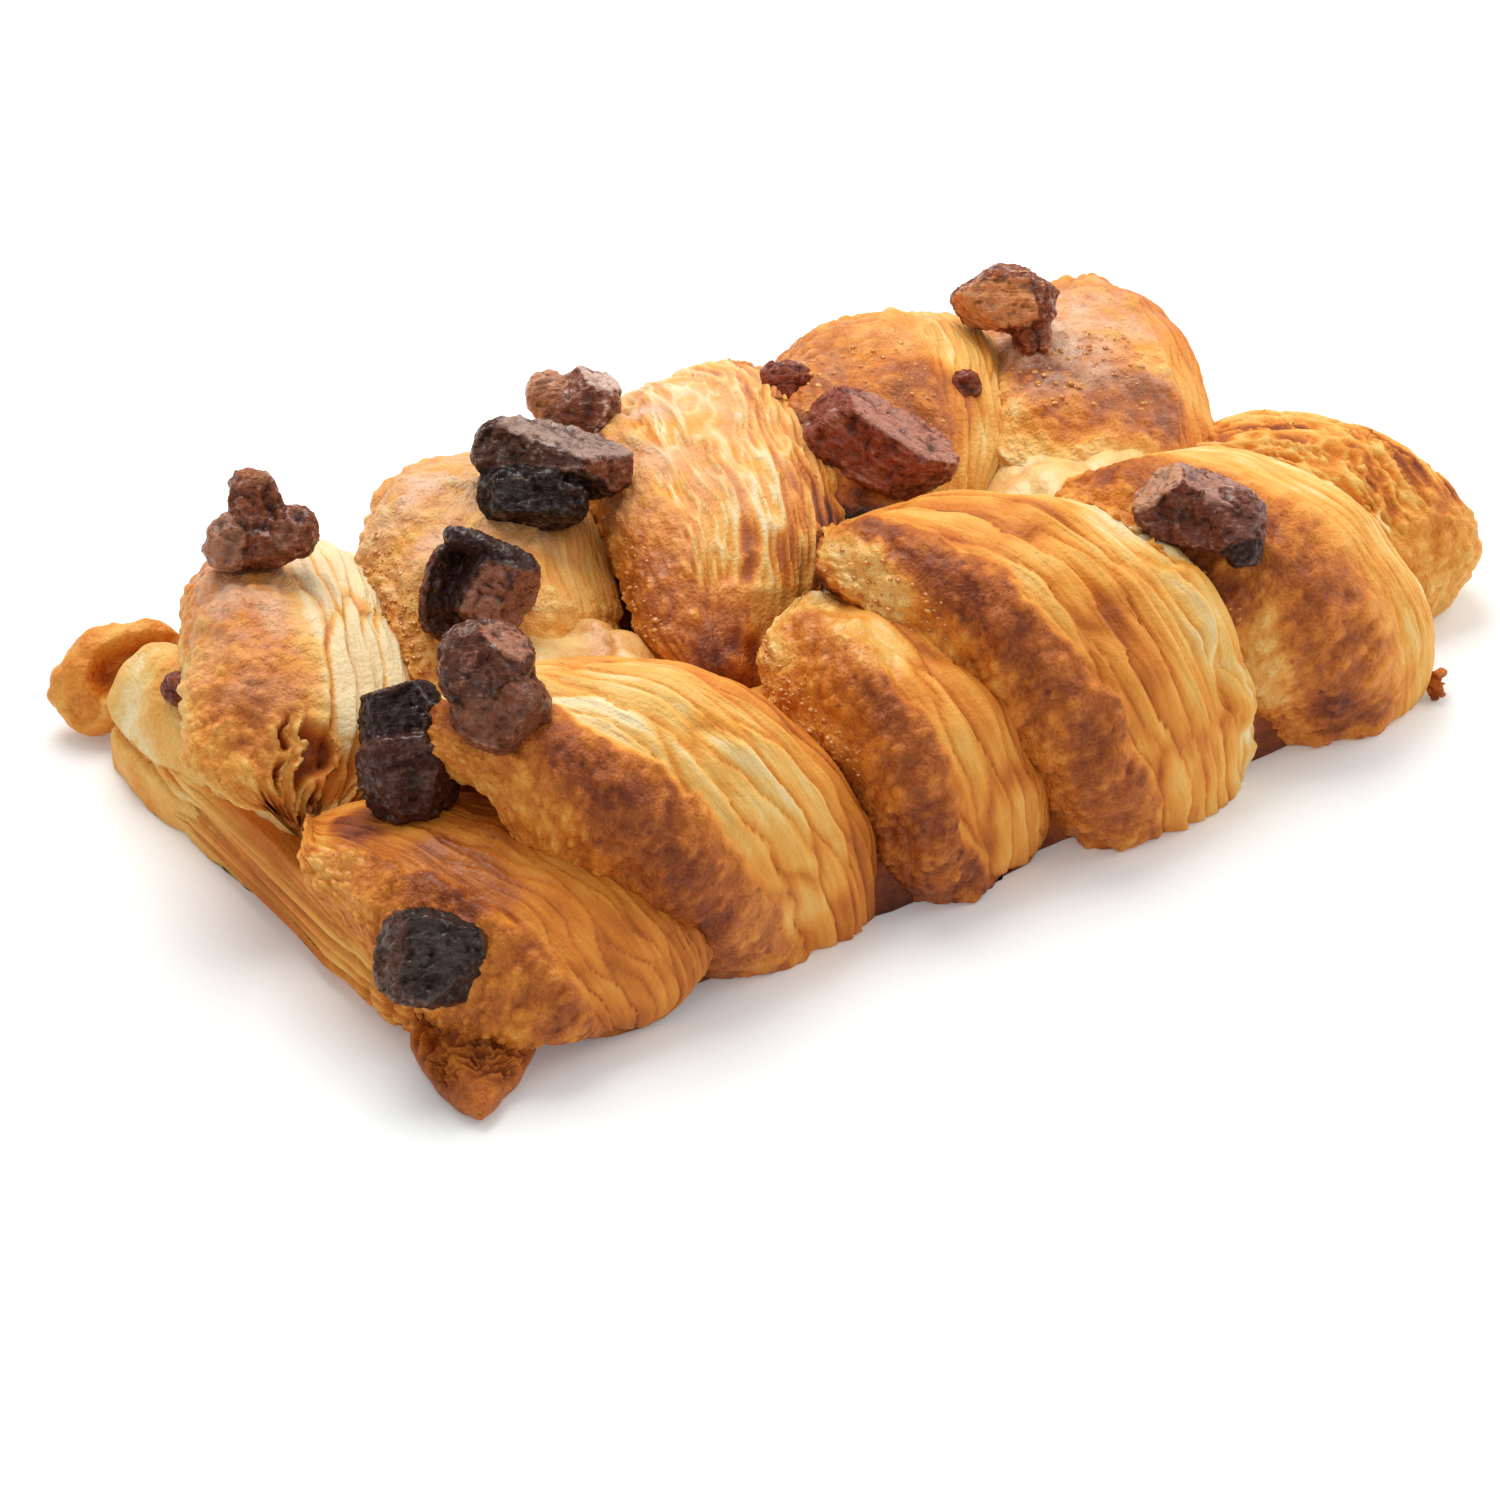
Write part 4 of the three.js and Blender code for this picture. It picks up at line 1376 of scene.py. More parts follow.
@dataclass(frozen=True)
class Tab:
    """A swollen tab or end of the sheet that shows beside the strips.

    Its place and size are in mm, and it turns in the plan and rises along its length by degrees.
    """

    name: str
    form: TabForm
    at: Triple
    size: Triple
    turn: float
    bake: float
    seed: int
    square: float = 2.0
    rise: float = 0.0

    def build(self, material: Material) -> Piece:
        """Models the tab.

        Args:
            material: the dough's finish.

        Returns:
            The piece.
        """
        net = BallNet(self.name, rings=84, segments=132)
        ball = net.ball()
        thick = np.hypot(ball[..., 0], ball[..., 2]) ** self.square
        ball = ball * ((thick + np.abs(ball[..., 1]) ** self.square) ** (-1 / self.square))[..., None]
        points = ball * np.array(self.size) / 2
        turned = Euler((math.radians(self.rise), 0, math.radians(self.turn))).to_matrix()
        points = points @ np.array(turned).T + np.array(self.at)
        relief, bake, fibre = self.skin(points, net.around)
        grain = (points[..., 2], net.around * 60.0)
        moved = BallNet.raised(points, relief)
        return net.bake(moved, material, grain, bake=bake, fibre=fibre, gloss=0.3 * (1 - fibre))

    def skin(self, points: Array, around: Array) -> tuple[Array, Array, Array]:
        """The tab's relief and baking.

        Args:
            points: the plain form, mm.
            around: shares of the way round.

        Returns:
            Relief in mm, and the bake and fibre values.
        """
        swell = Noise.rough(points, 7.0, 3, self.seed)
        if self.form is TabForm.END:
            wave = 1.1 * Noise.rough(points, 5.0, 2, self.seed + 1)
            _, gap, tag, _ = Noise.cells(around * 16, (points[..., 2] + wave) / 1.6, self.seed + 2)
            rib = 1 - ease(gap, 0.02, 0.5)
            relief = 0.9 * (rib - 0.5) + 0.6 * swell + 0.5 * (tag - 0.5)
            # the sunken cells between the raised layer edges are painted darker, as painted shade
            return relief, self.bake + 0.16 * (0.5 - rib) + 0.15 * swell, 0.85 + 0 * swell
        wrinkle = 1 - np.abs(Noise.soft(points, 4.0, self.seed + 3)) * 2
        crease = np.exp(-(((points[..., 2] - 6.0 - 2.0 * swell) / 0.8) ** 2))
        low = 1 - ease(points[..., 2], 2.5, 6.0)
        relief = 0.9 * swell + 0.3 * wrinkle - 1.3 * crease
        # painted shade in the crease, and darker towards the bottom
        bake = self.bake + 0.16 * swell + 0.24 * crease + 0.14 * low
        return relief, bake, 0.15 + 0.3 * low


TABS = (
    Tab("flank_left", TabForm.FLANK, (-65.5, 15, 2.5), (13, 42, 23), 5, 0.12, 113, square=4.0, rise=10.0),
    Tab("end_right_far", TabForm.END, (57, 21, 4), (22, 32, 17), -12, 0.40, 127),
    Tab("end_right_near", TabForm.END, (60, -8, 3), (24, 32, 22), 15, 0.34, 139),
)


@dataclass(frozen=True)
class Ear:
    """The far left corner of the sheet, folded up like an ear.

    Its hollows have a middle, a reach to the right and up as shares of the half size, and a depth in mm.
    """

    at: Triple = (-66.8, 40.0, 6.3)
    size: Triple = (16.5, 11.5, 7.5)
    tilt: float = 23.0
    hollows: tuple[tuple[float, float, float, float, float], ...] = (
        (0.20, 0.12, 0.74, 0.58, 3.0),
        (-0.62, -0.30, 0.26, 0.40, 0.5),
    )

    def build(self, material: Material) -> Piece:
        """Models the ear.

        Args:
            material: the dough's finish.

        Returns:
            The piece.
        """
        net = BallNet("ear_far_left", rings=110, segments=150)
        ball = net.ball()
        points = ball * np.array(self.size) / 2 @ leaning(self.tilt) + np.array(self.at)
        swell = Noise.rough(points, 5.0, 3, 91)
        relief = 0.8 * swell + 0.2 * Noise.rough(points, 1.6, 2, 92)
        dark = 0 * swell
        for right, up, wide, high, deep in self.hollows:
            away = np.hypot((ball[..., 0] - right) / wide, (ball[..., 1] - up) / high) + 0.3 * swell
            share = (1 - ease(away, 0.6, 1.0)) * ease(ball[..., 2], 0.0, 0.3)
            relief = relief - deep * share
            dark = np.maximum(dark, share * min(1.0, deep))
        # the hollows are painted darker, as painted shade in them
        bake = 0.30 + 0.18 * swell + 0.30 * dark
        grain = (points[..., 2], net.around * 40.0)
        return net.bake(BallNet.raised(points, relief), material, grain, bake=bake, fibre=0.15, gloss=0.2)


@dataclass(frozen=True)
class Corner:
    """The near left corner of the sheet: a pointed wedge of thin dark layers."""

    middle: Triple = (-67.5, -35.0, 2.4)
    tip: Pair = (-72.5, -44.0)
    back: float = 6.0
    half_width: float = 7.4
    half_height: float = 3.6
    spacing: float = 0.95

    def build(self, material: Material) -> Piece:
        """Models the wedge.

        Args:
            material: the dough's finish.

        Returns:
            The piece.
        """
        net = BallNet("corner_near_left", rings=110, segments=150)
        tilt, turn = np.pi * net.along, 2 * np.pi * net.around
        ahead = np.array([self.tip[0] - self.middle[0], self.tip[1] - self.middle[1], 0])
        length = np.linalg.norm(ahead)
        ahead /= length
        aside = np.array([-ahead[1], ahead[0], 0])
        share = (1 - np.cos(tilt)) / 2
        full = np.clip(np.sin(tilt), 0, 1) ** 0.3
        reach = -self.back + (length + self.back) * share
        wide = self.half_width * (1 - 0.86 * share**1.6) * full * np.sin(turn)
        high = self.half_height * (1 - 0.5 * share) * full * np.cos(turn)
        points = np.array(self.middle) + reach[..., None] * ahead + wide[..., None] * aside
        points[..., 2] = self.middle[2] * (1 - 0.4 * share) + high
        wave = 1.9 * Noise.rough(points, 4.0, 3, 151) + 0.10 * wide
        across = (reach + 0.8 * high + wave) / self.spacing
        _, gap, tag, _ = Noise.cells((wide + 0.6 * high) / 6.0, across, 152)
        rib = 1 - ease(gap, 0.04, 0.5)
        leafy = (1 - ease(share, 0.66, 0.86)) * ease(np.cos(turn), 0.0, 0.5)
        swell = Noise.rough(points, 5.0, 2, 153)
        relief = leafy * (rib - 0.5 + 0.9 * (tag - 0.5)) + 0.6 * swell
        # the sunken cells between the raised layer edges are painted darker, as painted shade
        bake = 0.63 - 0.03 * leafy + 0.10 * swell + leafy * (0.20 * (0.55 - rib) + 0.12 * (tag - 0.5))
        moved, gloss = BallNet.raised(points, relief), 0.25 * (1 - leafy)
        return net.bake(moved, material, (reach, wide), bake=bake, fibre=0.8 * leafy, gloss=gloss)


@dataclass(frozen=True)
class Flakes:
    """Thin torn layers that stand off part of a strip.

    Along and around bound where they start, as shares of its run and girth. Length, height and bake bound
    what each leaf has, in mm and as a tone. A strip's run is about strip_run long, mm.
    """

    name: str
    strip: Strip
    along: Pair
    around: Pair
    count: int
    length: Pair
    height: Pair
    bake: Pair
    seed: int
    steps: int = 18
    thickness: float = 0.26
    lowest: float = 0.2
    strip_run: float = 75.0

    def build(self, material: Material) -> Piece:
        """Models one leaf and repeats it, each copy with its own curl.

        Args:
            material: the dough's finish.

        Returns:
            The piece.
        """
        Bench.pick()
        bpy.ops.mesh.primitive_grid_add(x_subdivisions=self.steps, y_subdivisions=3, size=1.0)
        leaf = bpy.context.object
        flat = Bench.points(leaf) + (0.5, 0.5, 0.0)
        draw = Draw(self.seed)
        made = [self._leaf(flat, draw) for _ in range(self.count)]
        piece = Bench.repeat(leaf, [points for points, _ in made], self.name)
        Bench.carry(piece, bake=np.concatenate([bake for _, bake in made]))
        Bench.modify(piece, "SOLIDIFY", thickness=self.thickness * MILLIMETRE, offset=0.0)
        Bench.carry(piece, fibre=0.3, gloss=0.1)
        return Bench.dress(piece, material)

    def _leaf(self, flat: Array, draw: Draw) -> tuple[Array, Array]:
        """One leaf's points in the plan, mm, and how they are baked."""
        u, w = flat[:, 0], flat[:, 1]
        length, height, bake = (draw.between(*span) for span in (self.length, self.height, self.bake))
        along = np.clip(draw.between(*self.along) + u * length / self.strip_run, 0, 0.985)
        around = draw.between(*self.around) + 0.03 * (draw() - 0.5) * u
        base = self.strip.surface(along, around)
        side = self.strip.surface(along, around + 0.01) - base
        run = self.strip.surface(along + 0.01, around) - base
        out = np.cross(side, run)
        out *= np.sign(np.sum(out * (base - self.strip.surface(along, around + 0.5)), axis=1, keepdims=True))
        side /= np.linalg.norm(side, axis=1, keepdims=True)
        out /= np.linalg.norm(out, axis=1, keepdims=True)
        lean, curl = 2.0 * (draw() - 0.5), 0.4 + 0.9 * draw()
        rate, phase = 4.0 + 6.0 * draw(), 6.28 * draw()
        rise = (w * 1.5 - 0.5) * height * np.sqrt(np.clip(np.sin(np.pi * (0.03 + 0.94 * u)), 0, 1))
        rise *= 0.8 + 0.3 * np.sin(2.7 * rate * u + phase)
        sway = curl * (0.4 + w) * np.sin(rate * u + phase) + lean * w**2
        points = base + out * rise[:, None] + side * sway[:, None]
        points[:, 2] = np.maximum(points[:, 2], self.lowest)
        return points, bake + 0.10 * w - 0.10 * np.sin(rate * u + phase) * w


FLAKES = (
    Flakes(
        "flakes_near_4", STRIPS[3], along=(0.25, 0.62), around=(0.66, 0.74), count=34,
        length=(4, 9), height=(0.4, 0.9), bake=(0.18, 0.34), seed=223,
    ),
    Flakes(
        "flakes_near_5", STRIPS[4], along=(0.06, 0.075), around=(0.63, 0.66), count=2,
        length=(2.2, 3.0), height=(1.1, 1.5), bake=(0.46, 0.54), seed=227,
    ),
)


# Filling


@dataclass(frozen=True)
class Filling:
    """The lumpy run of filling in the seam, with its height at places along it, mm."""

    start: float = -52.0
    stop: float = 46.0
    low: float = 9.5
    tops: tuple[Pair, ...] = (
        (-52, 19), (-44, 21.5), (-30, 21.5), (-24, 16), (-10, 15.5), (-3, 21),
        (6, 20.5), (12, 17), (22, 20), (30, 22), (46, 20),
    )
    width: float = 19.0
    lumps: int = 9
    lump: float = 0.8
    seam: float = -3.0

    def build(self, material: Material) -> Piece:
        """Models the filling.

        Args:
            material: its finish.

        Returns:
            The piece.
        """
        net = BallNet("filling_run", rings=170, segments=72)
        close = np.sqrt(np.maximum(0, 1 - (2 * net.along - 1) ** 8))
        lump = self.lump * np.sin(net.along * self.lumps * 2 * np.pi)
        angle = 2 * np.pi * net.around
        up = np.maximum(-0.6, np.cos(angle))
        x = self.start + (self.stop - self.start) * net.along
        high = np.interp(x, *np.array(self.tops).T)
        half = (high - self.low) / 2
        y = self.seam + np.sin(angle) * (self.width / 2 + 0.4 * lump) * close
        z = (high + self.low) / 2 + up * (half + np.maximum(0, up) * lump) * close
        points = np.stack([x, y, z], -1)
        away, _, tag, _ = Noise.cells(x / 4.4, y / 4.4, 71)
        bead = np.sqrt(np.clip(1 - (away / 0.75) ** 2, 0, 1))
        relief = (bead - 0.5) * (0.4 + 1.2 * tag) + 0.5 * Noise.rough(points, 4.0, 2, 72)
        moved = BallNet.raised(points, relief * np.maximum(0, up))
        piece = net.lay(moved, bake=0.5 - 0.3 * (bead - 0.5) + 0.2 * Noise.rough(points, 8.0, 2, 73))
        return Bench.dress(piece, material, "filling", "filling")


@dataclass(frozen=True)
class Glaze:
    """Sugar beads baked onto patches of the strips.

    A patch has its strip, its reach along and round as shares, and how many beads lie there.
    """

    patches: tuple[tuple[str, Pair, Pair, int], ...] = (
        ("strip_near_3", (0.50, 0.95), (0.22, 0.36), 150),
        ("strip_far_2", (0.62, 0.92), (0.20, 0.36), 200),
        ("strip_far_3", (0.70, 0.92), (0.22, 0.34), 80),
        ("strip_near_5", (0.40, 0.66), (0.26, 0.38), 90),
        ("strip_near_4", (0.62, 0.90), (0.24, 0.36), 60),
        ("strip_far_4", (0.64, 0.86), (0.36, 0.56), 130),
        ("strip_far_5", (0.68, 0.84), (0.38, 0.54), 110),
    )
    radius: Pair = (0.14, 0.36)
    sunk: float = 0.45
    seed: int = 307

    def build(self, material: Material) -> Piece:
        """Models one bead and repeats it.

        Args:
            material: the glaze's finish.

        Returns:
            The piece.
        """
        Bench.pick()
        bpy.ops.mesh.primitive_ico_sphere_add(subdivisions=2, radius=1.0)
        bead = bpy.context.object
        Bench.modify(bead, "SMOOTH", factor=0.5, iterations=1)
        ball = Bench.points(bead)
        draw = Draw(self.seed)
        nets = []
        for strip, along, around, count in self.patches:
            laid, run, turn = Strip.LAID[strip]
            for _ in range(count):
                ring = np.searchsorted(run, draw.between(*along))
                part = np.searchsorted(turn, draw.between(*around))
                size = self.radius[0] + (self.radius[1] - self.radius[0]) * draw() ** 2
                inward = laid[ring, (part + len(turn) // 2) % len(turn)] - laid[ring, part]
                inward *= self.sunk * size / np.linalg.norm(inward)
                stretch = (draw.between(1.0, 1.8), draw.between(1.0, 1.8), 0.8)
                nets.append(laid[ring, part] + inward + ball * size * stretch)
        piece = Bench.repeat(bead, nets, "glaze_beads")
        return Bench.dress(piece, material)


# Pecans


class Face(Enum):
    """What shows on one side of a pecan."""

    SKIN = 0
    BROKEN = 1
    # a powdery side with a painted sheen
    DUSTY = 2
    BURNT = 3


SKIN, BROKEN, DUSTY, BURNT = Face


@dataclass(frozen=True)
class Chunk:
    """One chunk of a kernel, placed to the right, up and towards the viewer, with flat sides.

    Each side is a direction in the chunk, its distance as a share of the half size, and its face.
    """

    at: Triple
    size: Triple
    tilt: float = 0.0
    rest: Face = SKIN
    sides: tuple[tuple[float, float, float, float, Face], ...] = ()
    power: float = 2.5

    def planes(self) -> list[tuple[Array, float, Face]]:
        """The flat sides with their directions made unit."""
        return [(np.array(side[:3]) / np.linalg.norm(side[:3]), side[3], side[4]) for side in self.sides]

    def shape(self, direction: Array) -> Array:
        """The chunk's form from its middle, mm.

        Args:
            direction: unit directions in the chunk.

        Returns:
            Points about the kernel's middle in the plan's directions.
        """
        radius = np.sum(np.abs(direction) ** self.power, axis=1) ** (-1 / self.power)
        for normal, distance, _ in self.planes():
            facing = np.maximum(direction @ normal, 0.01)
            radius = np.where(direction @ normal > 0.01, np.minimum(radius, distance / facing), radius)
        local = direction * radius[:, None] * np.array(self.size) / 2
        return local @ leaning(self.tilt) + np.array(self.at) @ VIEW

    def turned(self, points: Array) -> Array:
        """Points about the kernel's middle on the chunk's own axes, mm."""
        return (points - np.array(self.at) @ VIEW) @ leaning(self.tilt).T

    def read(self, points: Array) -> tuple[Array, Array]:
        """How far points lie from the chunk's surface and which face they are on.

        Args:
            points: places about the kernel's middle, mm.

        Returns:
            Distances as shares of the half size, and face numbers.
        """
        local = self.turned(points) / (np.array(self.size) / 2)
        depth = np.sum(np.abs(local) ** self.power, axis=1) ** (1 / self.power) - 1
        face = np.full(len(points), self.rest.value)
        for normal, distance, kind in self.planes():
            past = local @ normal - distance
            face = np.where(past > depth - 0.04, kind.value, face)
            depth = np.maximum(depth, past)
        return depth, face


@dataclass(frozen=True)
class Pecan:
    """One broken pecan made of chunks of kernel."""

    name: str
    at: Triple
    seed: int
    chunks: tuple[Chunk, ...]
    finish: PecanFinish
    wrinkle: float = 0.35
    voxel: float = 0.3

    def build(self, node: str = "", slot: str = "pecan") -> Piece:
        """Models the pecan and dresses it.

        Args:
            node: the solid that it stands for, if it isn't the one of its own name.
            slot: the record's material slot.

        Returns:
            The piece.
        """
        piece = Bench.join([self._ball(chunk) for chunk in self.chunks], f"{self.name}_kernel")
        Bench.modify(piece, "REMESH", mode="VOXEL", voxel_size=self.voxel * MILLIMETRE)
        Bench.modify(piece, "SMOOTH", factor=0.5, iterations=1)
        points = Bench.points(piece) / MILLIMETRE - PLAN_SHIFT - np.array(self.at)
        shaken = points + 0.5 * np.stack([Noise.rough(points, 2.0, 2, self.seed + k) for k in range(3)], -1)
        reads = [chunk.read(shaken) for chunk in self.chunks]
        nearest = np.argmin([depth for depth, _ in reads], axis=0)
        face = np.choose(nearest, [kind for _, kind in reads])
        broken, dusty, burnt = (
            Bench.soften(piece, np.where(face == kind.value, 1.0, 0.0), rounds=6)
            for kind in (BROKEN, DUSTY, BURNT)
        )
        turned = np.stack([chunk.turned(points) for chunk in self.chunks])
        grain = turned[nearest, np.arange(len(points))] * MILLIMETRE
        ridged = 1 - 2.4 * np.abs(Noise.rough(points, 2.4, 2, self.seed + 3))
        crack = np.exp(-((Noise.rough(points, 4.5, 2, self.seed + 4) / 0.035) ** 2))
        pits = ease(Noise.soft(points, 1.0, self.seed + 5), 0.2, 0.5)
        rough = 0.26 * Noise.rough(points, 1.5, 3, self.seed + 6)
        relief = self.wrinkle * (ridged - 0.4) * (1 - 0.6 * broken) * (1 - 0.5 * burnt)
        relief += rough * (0.7 + 0.5 * broken) - 0.28 * crack * (1 - 0.5 * broken) - 0.35 * pits * burnt
        Bench.put(piece, Bench.points(piece) + Bench.points(piece, "normal") * relief[:, None] * MILLIMETRE)
        # raised ridges get a painted highlight with powder, and the hollows of the relief get painted shade
        worn = ease(relief, 0.1, 0.4)
        cavity = np.clip(0.25 - relief, 0, 1)
        Bench.carry(piece, broken=broken, dusty=dusty, burnt=burnt, worn=worn, cavity=cavity, grain=grain)
        return Bench.dress(piece, self.finish.make(f"{self.name}_finish"), node or self.name, slot)

    def _ball(self, chunk: Chunk) -> Piece:
        """Adds a ball and breaks it to a chunk's form."""
        Bench.pick()
        bpy.ops.mesh.primitive_ico_sphere_add(subdivisions=6, radius=1.0)
        piece = bpy.context.object
        direction = Bench.points(piece)
        direction /= np.linalg.norm(direction, axis=1, keepdims=True)
        Bench.put(piece, (chunk.shape(direction) + np.array(self.at) + PLAN_SHIFT) * MILLIMETRE)
        return piece


PECANS = (
    Pecan(
        "pecan_01", (-57.5, 22.7, 32.5), 11,
        (
            Chunk(
                (-0.6, 1.1, 0), (5.6, 9.4, 5.8), 12, SKIN,
                ((0.3, 0.1, 1, 0.74, SKIN), (0.2, 1, 0.2, 0.86, BROKEN)),
            ),
            Chunk((3.2, -1.3, 0.3), (5.6, 5.6, 5.6)),
            Chunk((-3.4, -2.4, 0.2), (5.2, 6.2, 5.8), -25, DUSTY),
            Chunk((0, -2.4, -0.6), (8, 5.4, 6.5)),
        ),
        PecanFinish((134, 70, 40), (166, 98, 58), (186, 128, 98), (66, 30, 18)),
    ),
    Pecan(
        "pecan_02", (-14.2, 26.9, 30.1), 23,
        (
            Chunk(
                (0.3, 0.4, 0), (7.9, 7.4, 7.5), 0, SKIN,
                ((-0.7, 0.5, 0.5, 0.70, SKIN), (0.4, 0.8, 0.4, 0.84, DUSTY)),
            ),
            Chunk((-3.7, 1, -0.5), (4.9, 5.6, 5.2), 10, BROKEN),
            Chunk((-0.5, -2.6, -0.5), (8, 5, 6.5)),
        ),
        PecanFinish((150, 88, 64), (204, 136, 98), (236, 200, 182), (70, 36, 26)),
    ),
    Pecan(
        "pecan_03", (-25.3, 14, 30.8), 37,
        (
            Chunk(
                (-0.8, 2.4, -0.5), (17.6, 9, 10), -8, SKIN,
                (
                    (0.25, 0.85, 0.45, 0.52, DUSTY), (-0.35, -0.1, 0.95, 0.68, SKIN),
                    (0.9, -0.1, 0.5, 0.80, BROKEN), (0, -0.9, 0.4, 0.62, BURNT),
                ),
            ),
            Chunk(
                (-3.2, -2, 0), (12.6, 7, 9.5), -3, BURNT,
                ((0, 0.1, 1, 0.78, BURNT), (0, -0.9, 0.45, 0.82, BURNT), (-0.9, 0, 0.4, 0.85, BURNT)),
            ),
        ),
        PecanFinish((94, 54, 38), (134, 74, 50), (184, 150, 134), (36, 23, 18)),
    ),
    Pecan(
        "pecan_04", (-41.4, 4.8, 28), 41,
        (
            Chunk(
                (1.5, 0.2, 0), (9.4, 9.8, 9), -20, SKIN,
                (
                    (0.1, -0.1, 1, 0.68, DUSTY), (0.75, -0.2, 0.6, 0.74, BROKEN),
                    (0, 0.9, 0.4, 0.72, BURNT), (-0.9, 0.1, 0.4, 0.70, BURNT),
                ),
            ),
            Chunk((-3.3, -0.6, -1), (5.8, 10.4, 8), -12, SKIN, ((0.5, 0.1, 0.9, 0.25, BURNT),)),
            Chunk((0.1, 4.1, 0.3), (8.4, 2.8, 6), -22, BURNT),
        ),
        PecanFinish((106, 56, 38), (150, 96, 74), (164, 112, 90), (50, 26, 18)),
    ),
    Pecan(
        "pecan_05", (-54.3, -18.1, 32.1), 59,
        (
            Chunk(
                (-0.4, 2.5, 0), (9.8, 9.4, 9.5), 0, SKIN,
                ((0.5, 0.7, 0.5, 0.86, DUSTY), (-0.2, 0, 1, 0.88, SKIN)),
            ),
            Chunk(
                (1.2, -2, 0.4), (10.2, 9, 9), -20, BROKEN,
                ((-0.1, -0.2, 1, 0.76, BROKEN), (0.8, -0.3, 0.5, 0.8, BROKEN)),
            ),
        ),
        PecanFinish((104, 54, 34), (130, 72, 44), (186, 118, 86), (60, 28, 18)),
    ),
    Pecan(
        "pecan_06", (-61.7, -11.6, 23.5), 61,
        (
            Chunk(
                (0.3, 3.3, -0.3), (9.6, 9.2, 8.5), 5, BURNT,
                (
                    (0, 0.15, 1, 0.70, BURNT), (-0.9, 0, 0.3, 0.80, BURNT),
                    (0.7, 0.3, 0.5, 0.84, BURNT), (-0.2, 0.95, 0, 0.76, SKIN),
                ),
            ),
            Chunk(
                (1.2, -2.2, 0.4), (10.8, 10, 9), 8, SKIN,
                ((0, -0.1, 1, 0.74, SKIN), (0.8, -0.4, 0.4, 0.8, SKIN), (-0.8, -0.3, 0.5, 0.8, SKIN)),
            ),
            Chunk((4.3, 3, 0.8), (2.6, 2.4, 3), 0, BROKEN),
        ),
        PecanFinish((78, 36, 24), (190, 124, 78), (112, 66, 46), (46, 25, 19)),
    ),
    Pecan(
        "pecan_07", (-70, -32.9, 12.7), 73,
        (
            Chunk(
                (-1.1, 0.8, 0), (11.6, 10.2, 8.5), 0, SKIN,
                (
                    (0.15, 0.2, 1, 0.56, BURNT), (-0.85, 0.2, 0.5, 0.72, SKIN),
                    (0.7, -0.5, 0.5, 0.82, BURNT), (0.3, 0.9, 0.2, 0.84, BURNT),
                ),
            ),
        ),
        PecanFinish((92, 56, 40), (100, 62, 42), (112, 76, 58), (50, 34, 27)),
    ),
    Pecan(
        "pecan_08", (10, 3.9, 27), 83,
        (
            Chunk(
                (0.1, 1.2, 0), (17.6, 10.2, 10), -24, SKIN,
                (
                    (-0.15, -0.45, 0.88, 0.72, SKIN), (0.25, 0.85, 0.45, 0.62, DUSTY),
                    (-0.9, 0.2, 0.3, 0.87, SKIN), (0.8, -0.45, 0.3, 0.80, SKIN),
                ),
            ),
        ),
        PecanFinish((158, 76, 52), (176, 96, 62), (198, 136, 114), (80, 34, 22)), 0.3,
    ),
    Pecan(
        "pecan_09", (35.7, 16.8, 30.9), 97,
        (
            Chunk(
                (0.6, 1.5, 0), (12.2, 8, 9), 0, SKIN,
                (
                    (-0.1, -0.1, 1, 0.62, BROKEN), (0.1, 0.9, 0.35, 0.74, SKIN),
                    (-0.7, -0.6, 0.4, 0.82, BROKEN), (0.8, 0.1, 0.5, 0.82, SKIN),
                    (-0.7, 0.7, 0.1, 0.74, SKIN), (0.7, 0.7, 0.1, 0.82, SKIN),
                ),
            ),
            Chunk((3.6, -2.6, -0.2), (4.2, 5.8, 5)),
        ),
        PecanFinish((146, 68, 32), (234, 152, 94), (246, 184, 130), (78, 34, 18)),
    ),
    Pecan(
        "pecan_10", (31, -26.7, 27.7), 101,
        (
            Chunk(
                (-0.3, 1, 0), (14, 9.2, 9.5), -10, SKIN,
                (
                    (-0.2, -0.3, 0.93, 0.66, SKIN), (0.3, 0.85, 0.4, 0.60, DUSTY),
                    (-0.85, 0.45, 0.3, 0.72, BROKEN),
                ),
            ),
            Chunk((3.6, -0.8, 0), (7.2, 7.2, 8)),
            Chunk((4.6, -3.7, 1.1), (4.4, 4.2, 4.6), 0, BURNT),
        ),
        PecanFinish((124, 64, 44), (216, 158, 124), (196, 142, 122), (42, 28, 22)),
    ),
)

BIT_PLACES = (
    ((8, 19.4, 28.6), (6, 6, 5)),
    ((-69, 21.9, 15.6), (4, 3.5, 4)),
    ((26.4, 10.3, 27.2), (3.2, 3.4, 3)),
)
BITS = Pecan(
    "pecan_bits", (0, 0, 0), 7, tuple(Chunk(tuple(VIEW @ np.array(at)), size) for at, size in BIT_PLACES),
    PecanFinish((140, 62, 34), (160, 76, 42), (180, 110, 80), (80, 36, 24)),
)


# Studio


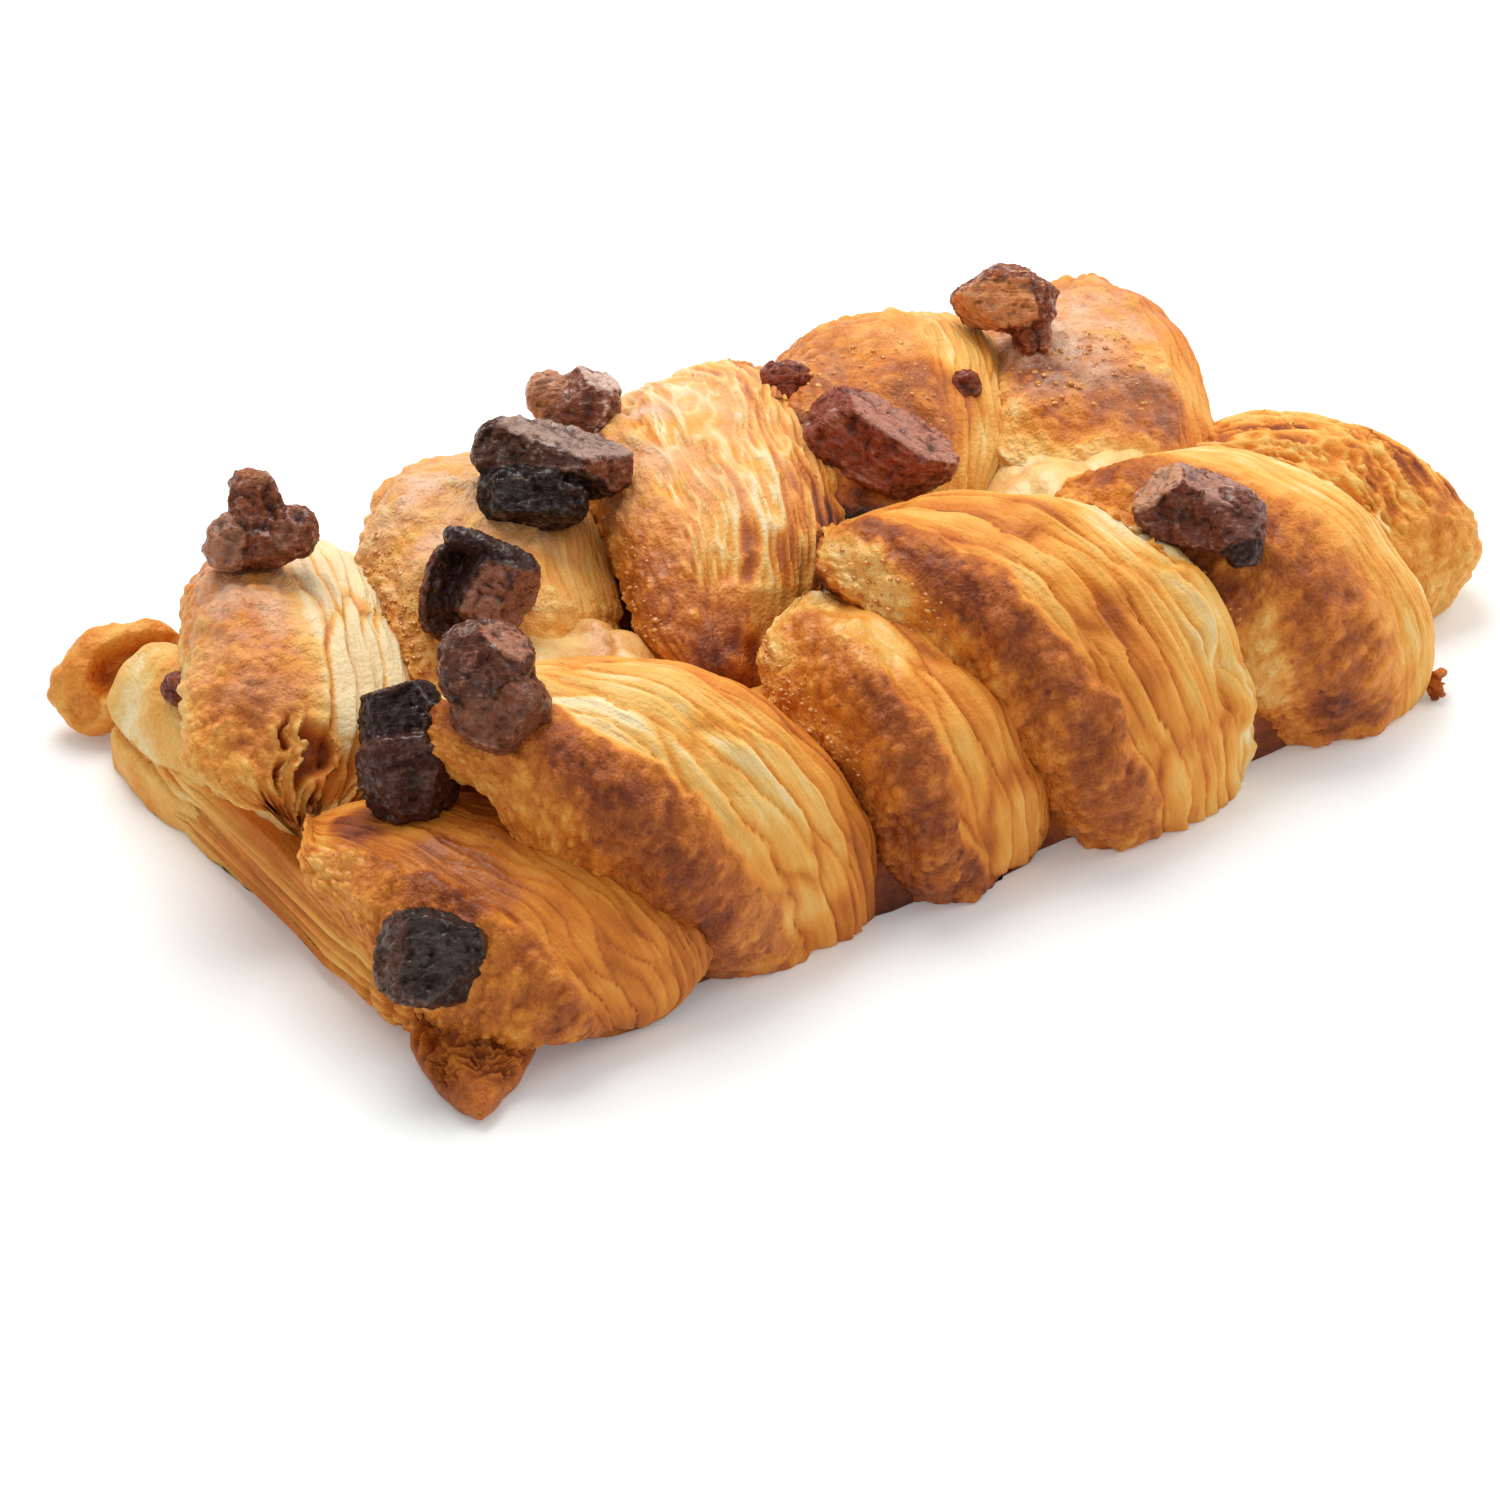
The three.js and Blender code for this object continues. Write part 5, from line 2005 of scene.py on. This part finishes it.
@dataclass(frozen=True)
class Studio:
    """Pale floor, soft light and the camera.

    Places are in mm, and the sizes of the floor and the lamps in metres.
    """

    target: Triple = (-24.29, -21.35, 15.0)
    distance: float = 636.58
    lens: float = 144.0
    sky: float = 0.58
    key: float = 3.0
    fill: float = 1.0
    fill_at: Triple = (440.0, -90.0, 270.0)
    key_at: Triple = (55.0, 290.0, 535.0)
    lamp_size: float = 0.42
    lamp_color: Triple = (1.0, 0.985, 0.96)
    sky_color: Triple = (1.0, 0.99, 0.975)
    floor_size: float = 6.0
    floor_drop: float = 0.0001
    floor_colors: tuple[Color, Color] = ((239, 243, 244), (241, 245, 246))
    glow_color: Triple = (0.97, 0.995, 1.0)
    glow: float = 0.11
    sensor: float = 36.0

    def build(self) -> None:
        """Makes the floor, the lights and the camera."""
        self._floor()
        self._light()
        self._camera()

    def _floor(self) -> None:
        """A wide pale floor with a faint glow."""
        Bench.pick()
        bpy.ops.mesh.primitive_plane_add(size=self.floor_size, location=(0, 0, -self.floor_drop))
        floor = bpy.context.object
        floor.name = "floor"
        shader = Shader("floor")
        cloud = shader.noise(shader.place(), 3.0)
        shader.set(
            Base_Color=shader.mix(cloud, *(light(color) for color in self.floor_colors)),
            Roughness=0.7,
            Specular_IOR_Level=0.2,
            Emission_Color=(*self.glow_color, 1.0),
            Emission_Strength=self.glow,
        )
        floor.data.materials.append(shader.material)

    def _light(self) -> None:
        """An even white surround, one broad light above and behind, and a weaker one to the right."""
        world = bpy.data.worlds.new("surround")
        world.use_nodes = True
        back = world.node_tree.nodes["Background"]
        back.inputs["Color"].default_value = (*self.sky_color, 1.0)
        back.inputs["Strength"].default_value = self.sky
        bpy.context.scene.world = world
        self._lamp("key", self.key_at, self.key)
        self._lamp("fill", self.fill_at, self.fill)

    def _lamp(self, name: str, at: Triple, power: float) -> None:
        """Adds a broad light that faces the plait.

        Args:
            name: the light's name.
            at: its place, mm.
            power: its strength, W.
        """
        bpy.ops.object.light_add(type="AREA", location=Vector(at) * MILLIMETRE)
        lamp = bpy.context.object
        lamp.name = name
        lamp.data.size = self.lamp_size
        lamp.data.energy = power
        lamp.data.color = self.lamp_color
        lamp.rotation_euler = (-Vector(at)).to_track_quat("-Z", "Y").to_euler()

    def _camera(self) -> None:
        """The camera at the viewing angle of the plait's long near side."""
        back = Vector(FORWARD)
        place = (Vector(self.target) + Vector(PLAN_SHIFT) + back * self.distance) * MILLIMETRE
        bpy.ops.object.camera_add(location=place, rotation=(-back).to_track_quat("-Z", "Y").to_euler())
        camera = bpy.context.object
        camera.data.lens = self.lens
        camera.data.sensor_width = self.sensor
        camera.data.clip_start, camera.data.clip_end = 0.01, 20.0
        bpy.context.scene.camera = camera
        bpy.context.scene.view_settings.view_transform = "Standard"


@dataclass(frozen=True)
class Danish:
    """The whole plait."""

    strips: tuple[Strip, ...] = STRIPS
    tabs: tuple[Tab, ...] = TABS
    flakes: tuple[Flakes, ...] = FLAKES
    pecans: tuple[Pecan, ...] = PECANS
    bits: Pecan = BITS

    def build(self) -> None:
        """Models every piece in order."""
        dough = DoughFinish().make()
        rolls = (Roll(side) for side in Side)
        for part in (*self.strips, BaseSheet(), *rolls, *self.tabs, Ear(), Corner(), *self.flakes):
            part.build(dough)
        Glaze().build(GlazeFinish().make())
        Filling().build(FillingFinish().make())
        for pecan in self.pecans:
            pecan.build()
        self.bits.build("plait", "dough")


def main() -> None:
    """Builds the plait and its studio."""
    logging.basicConfig(level=logging.INFO, format="%(message)s")
    Danish().build()
    Studio().build()


if __name__ == "__main__":
    main()
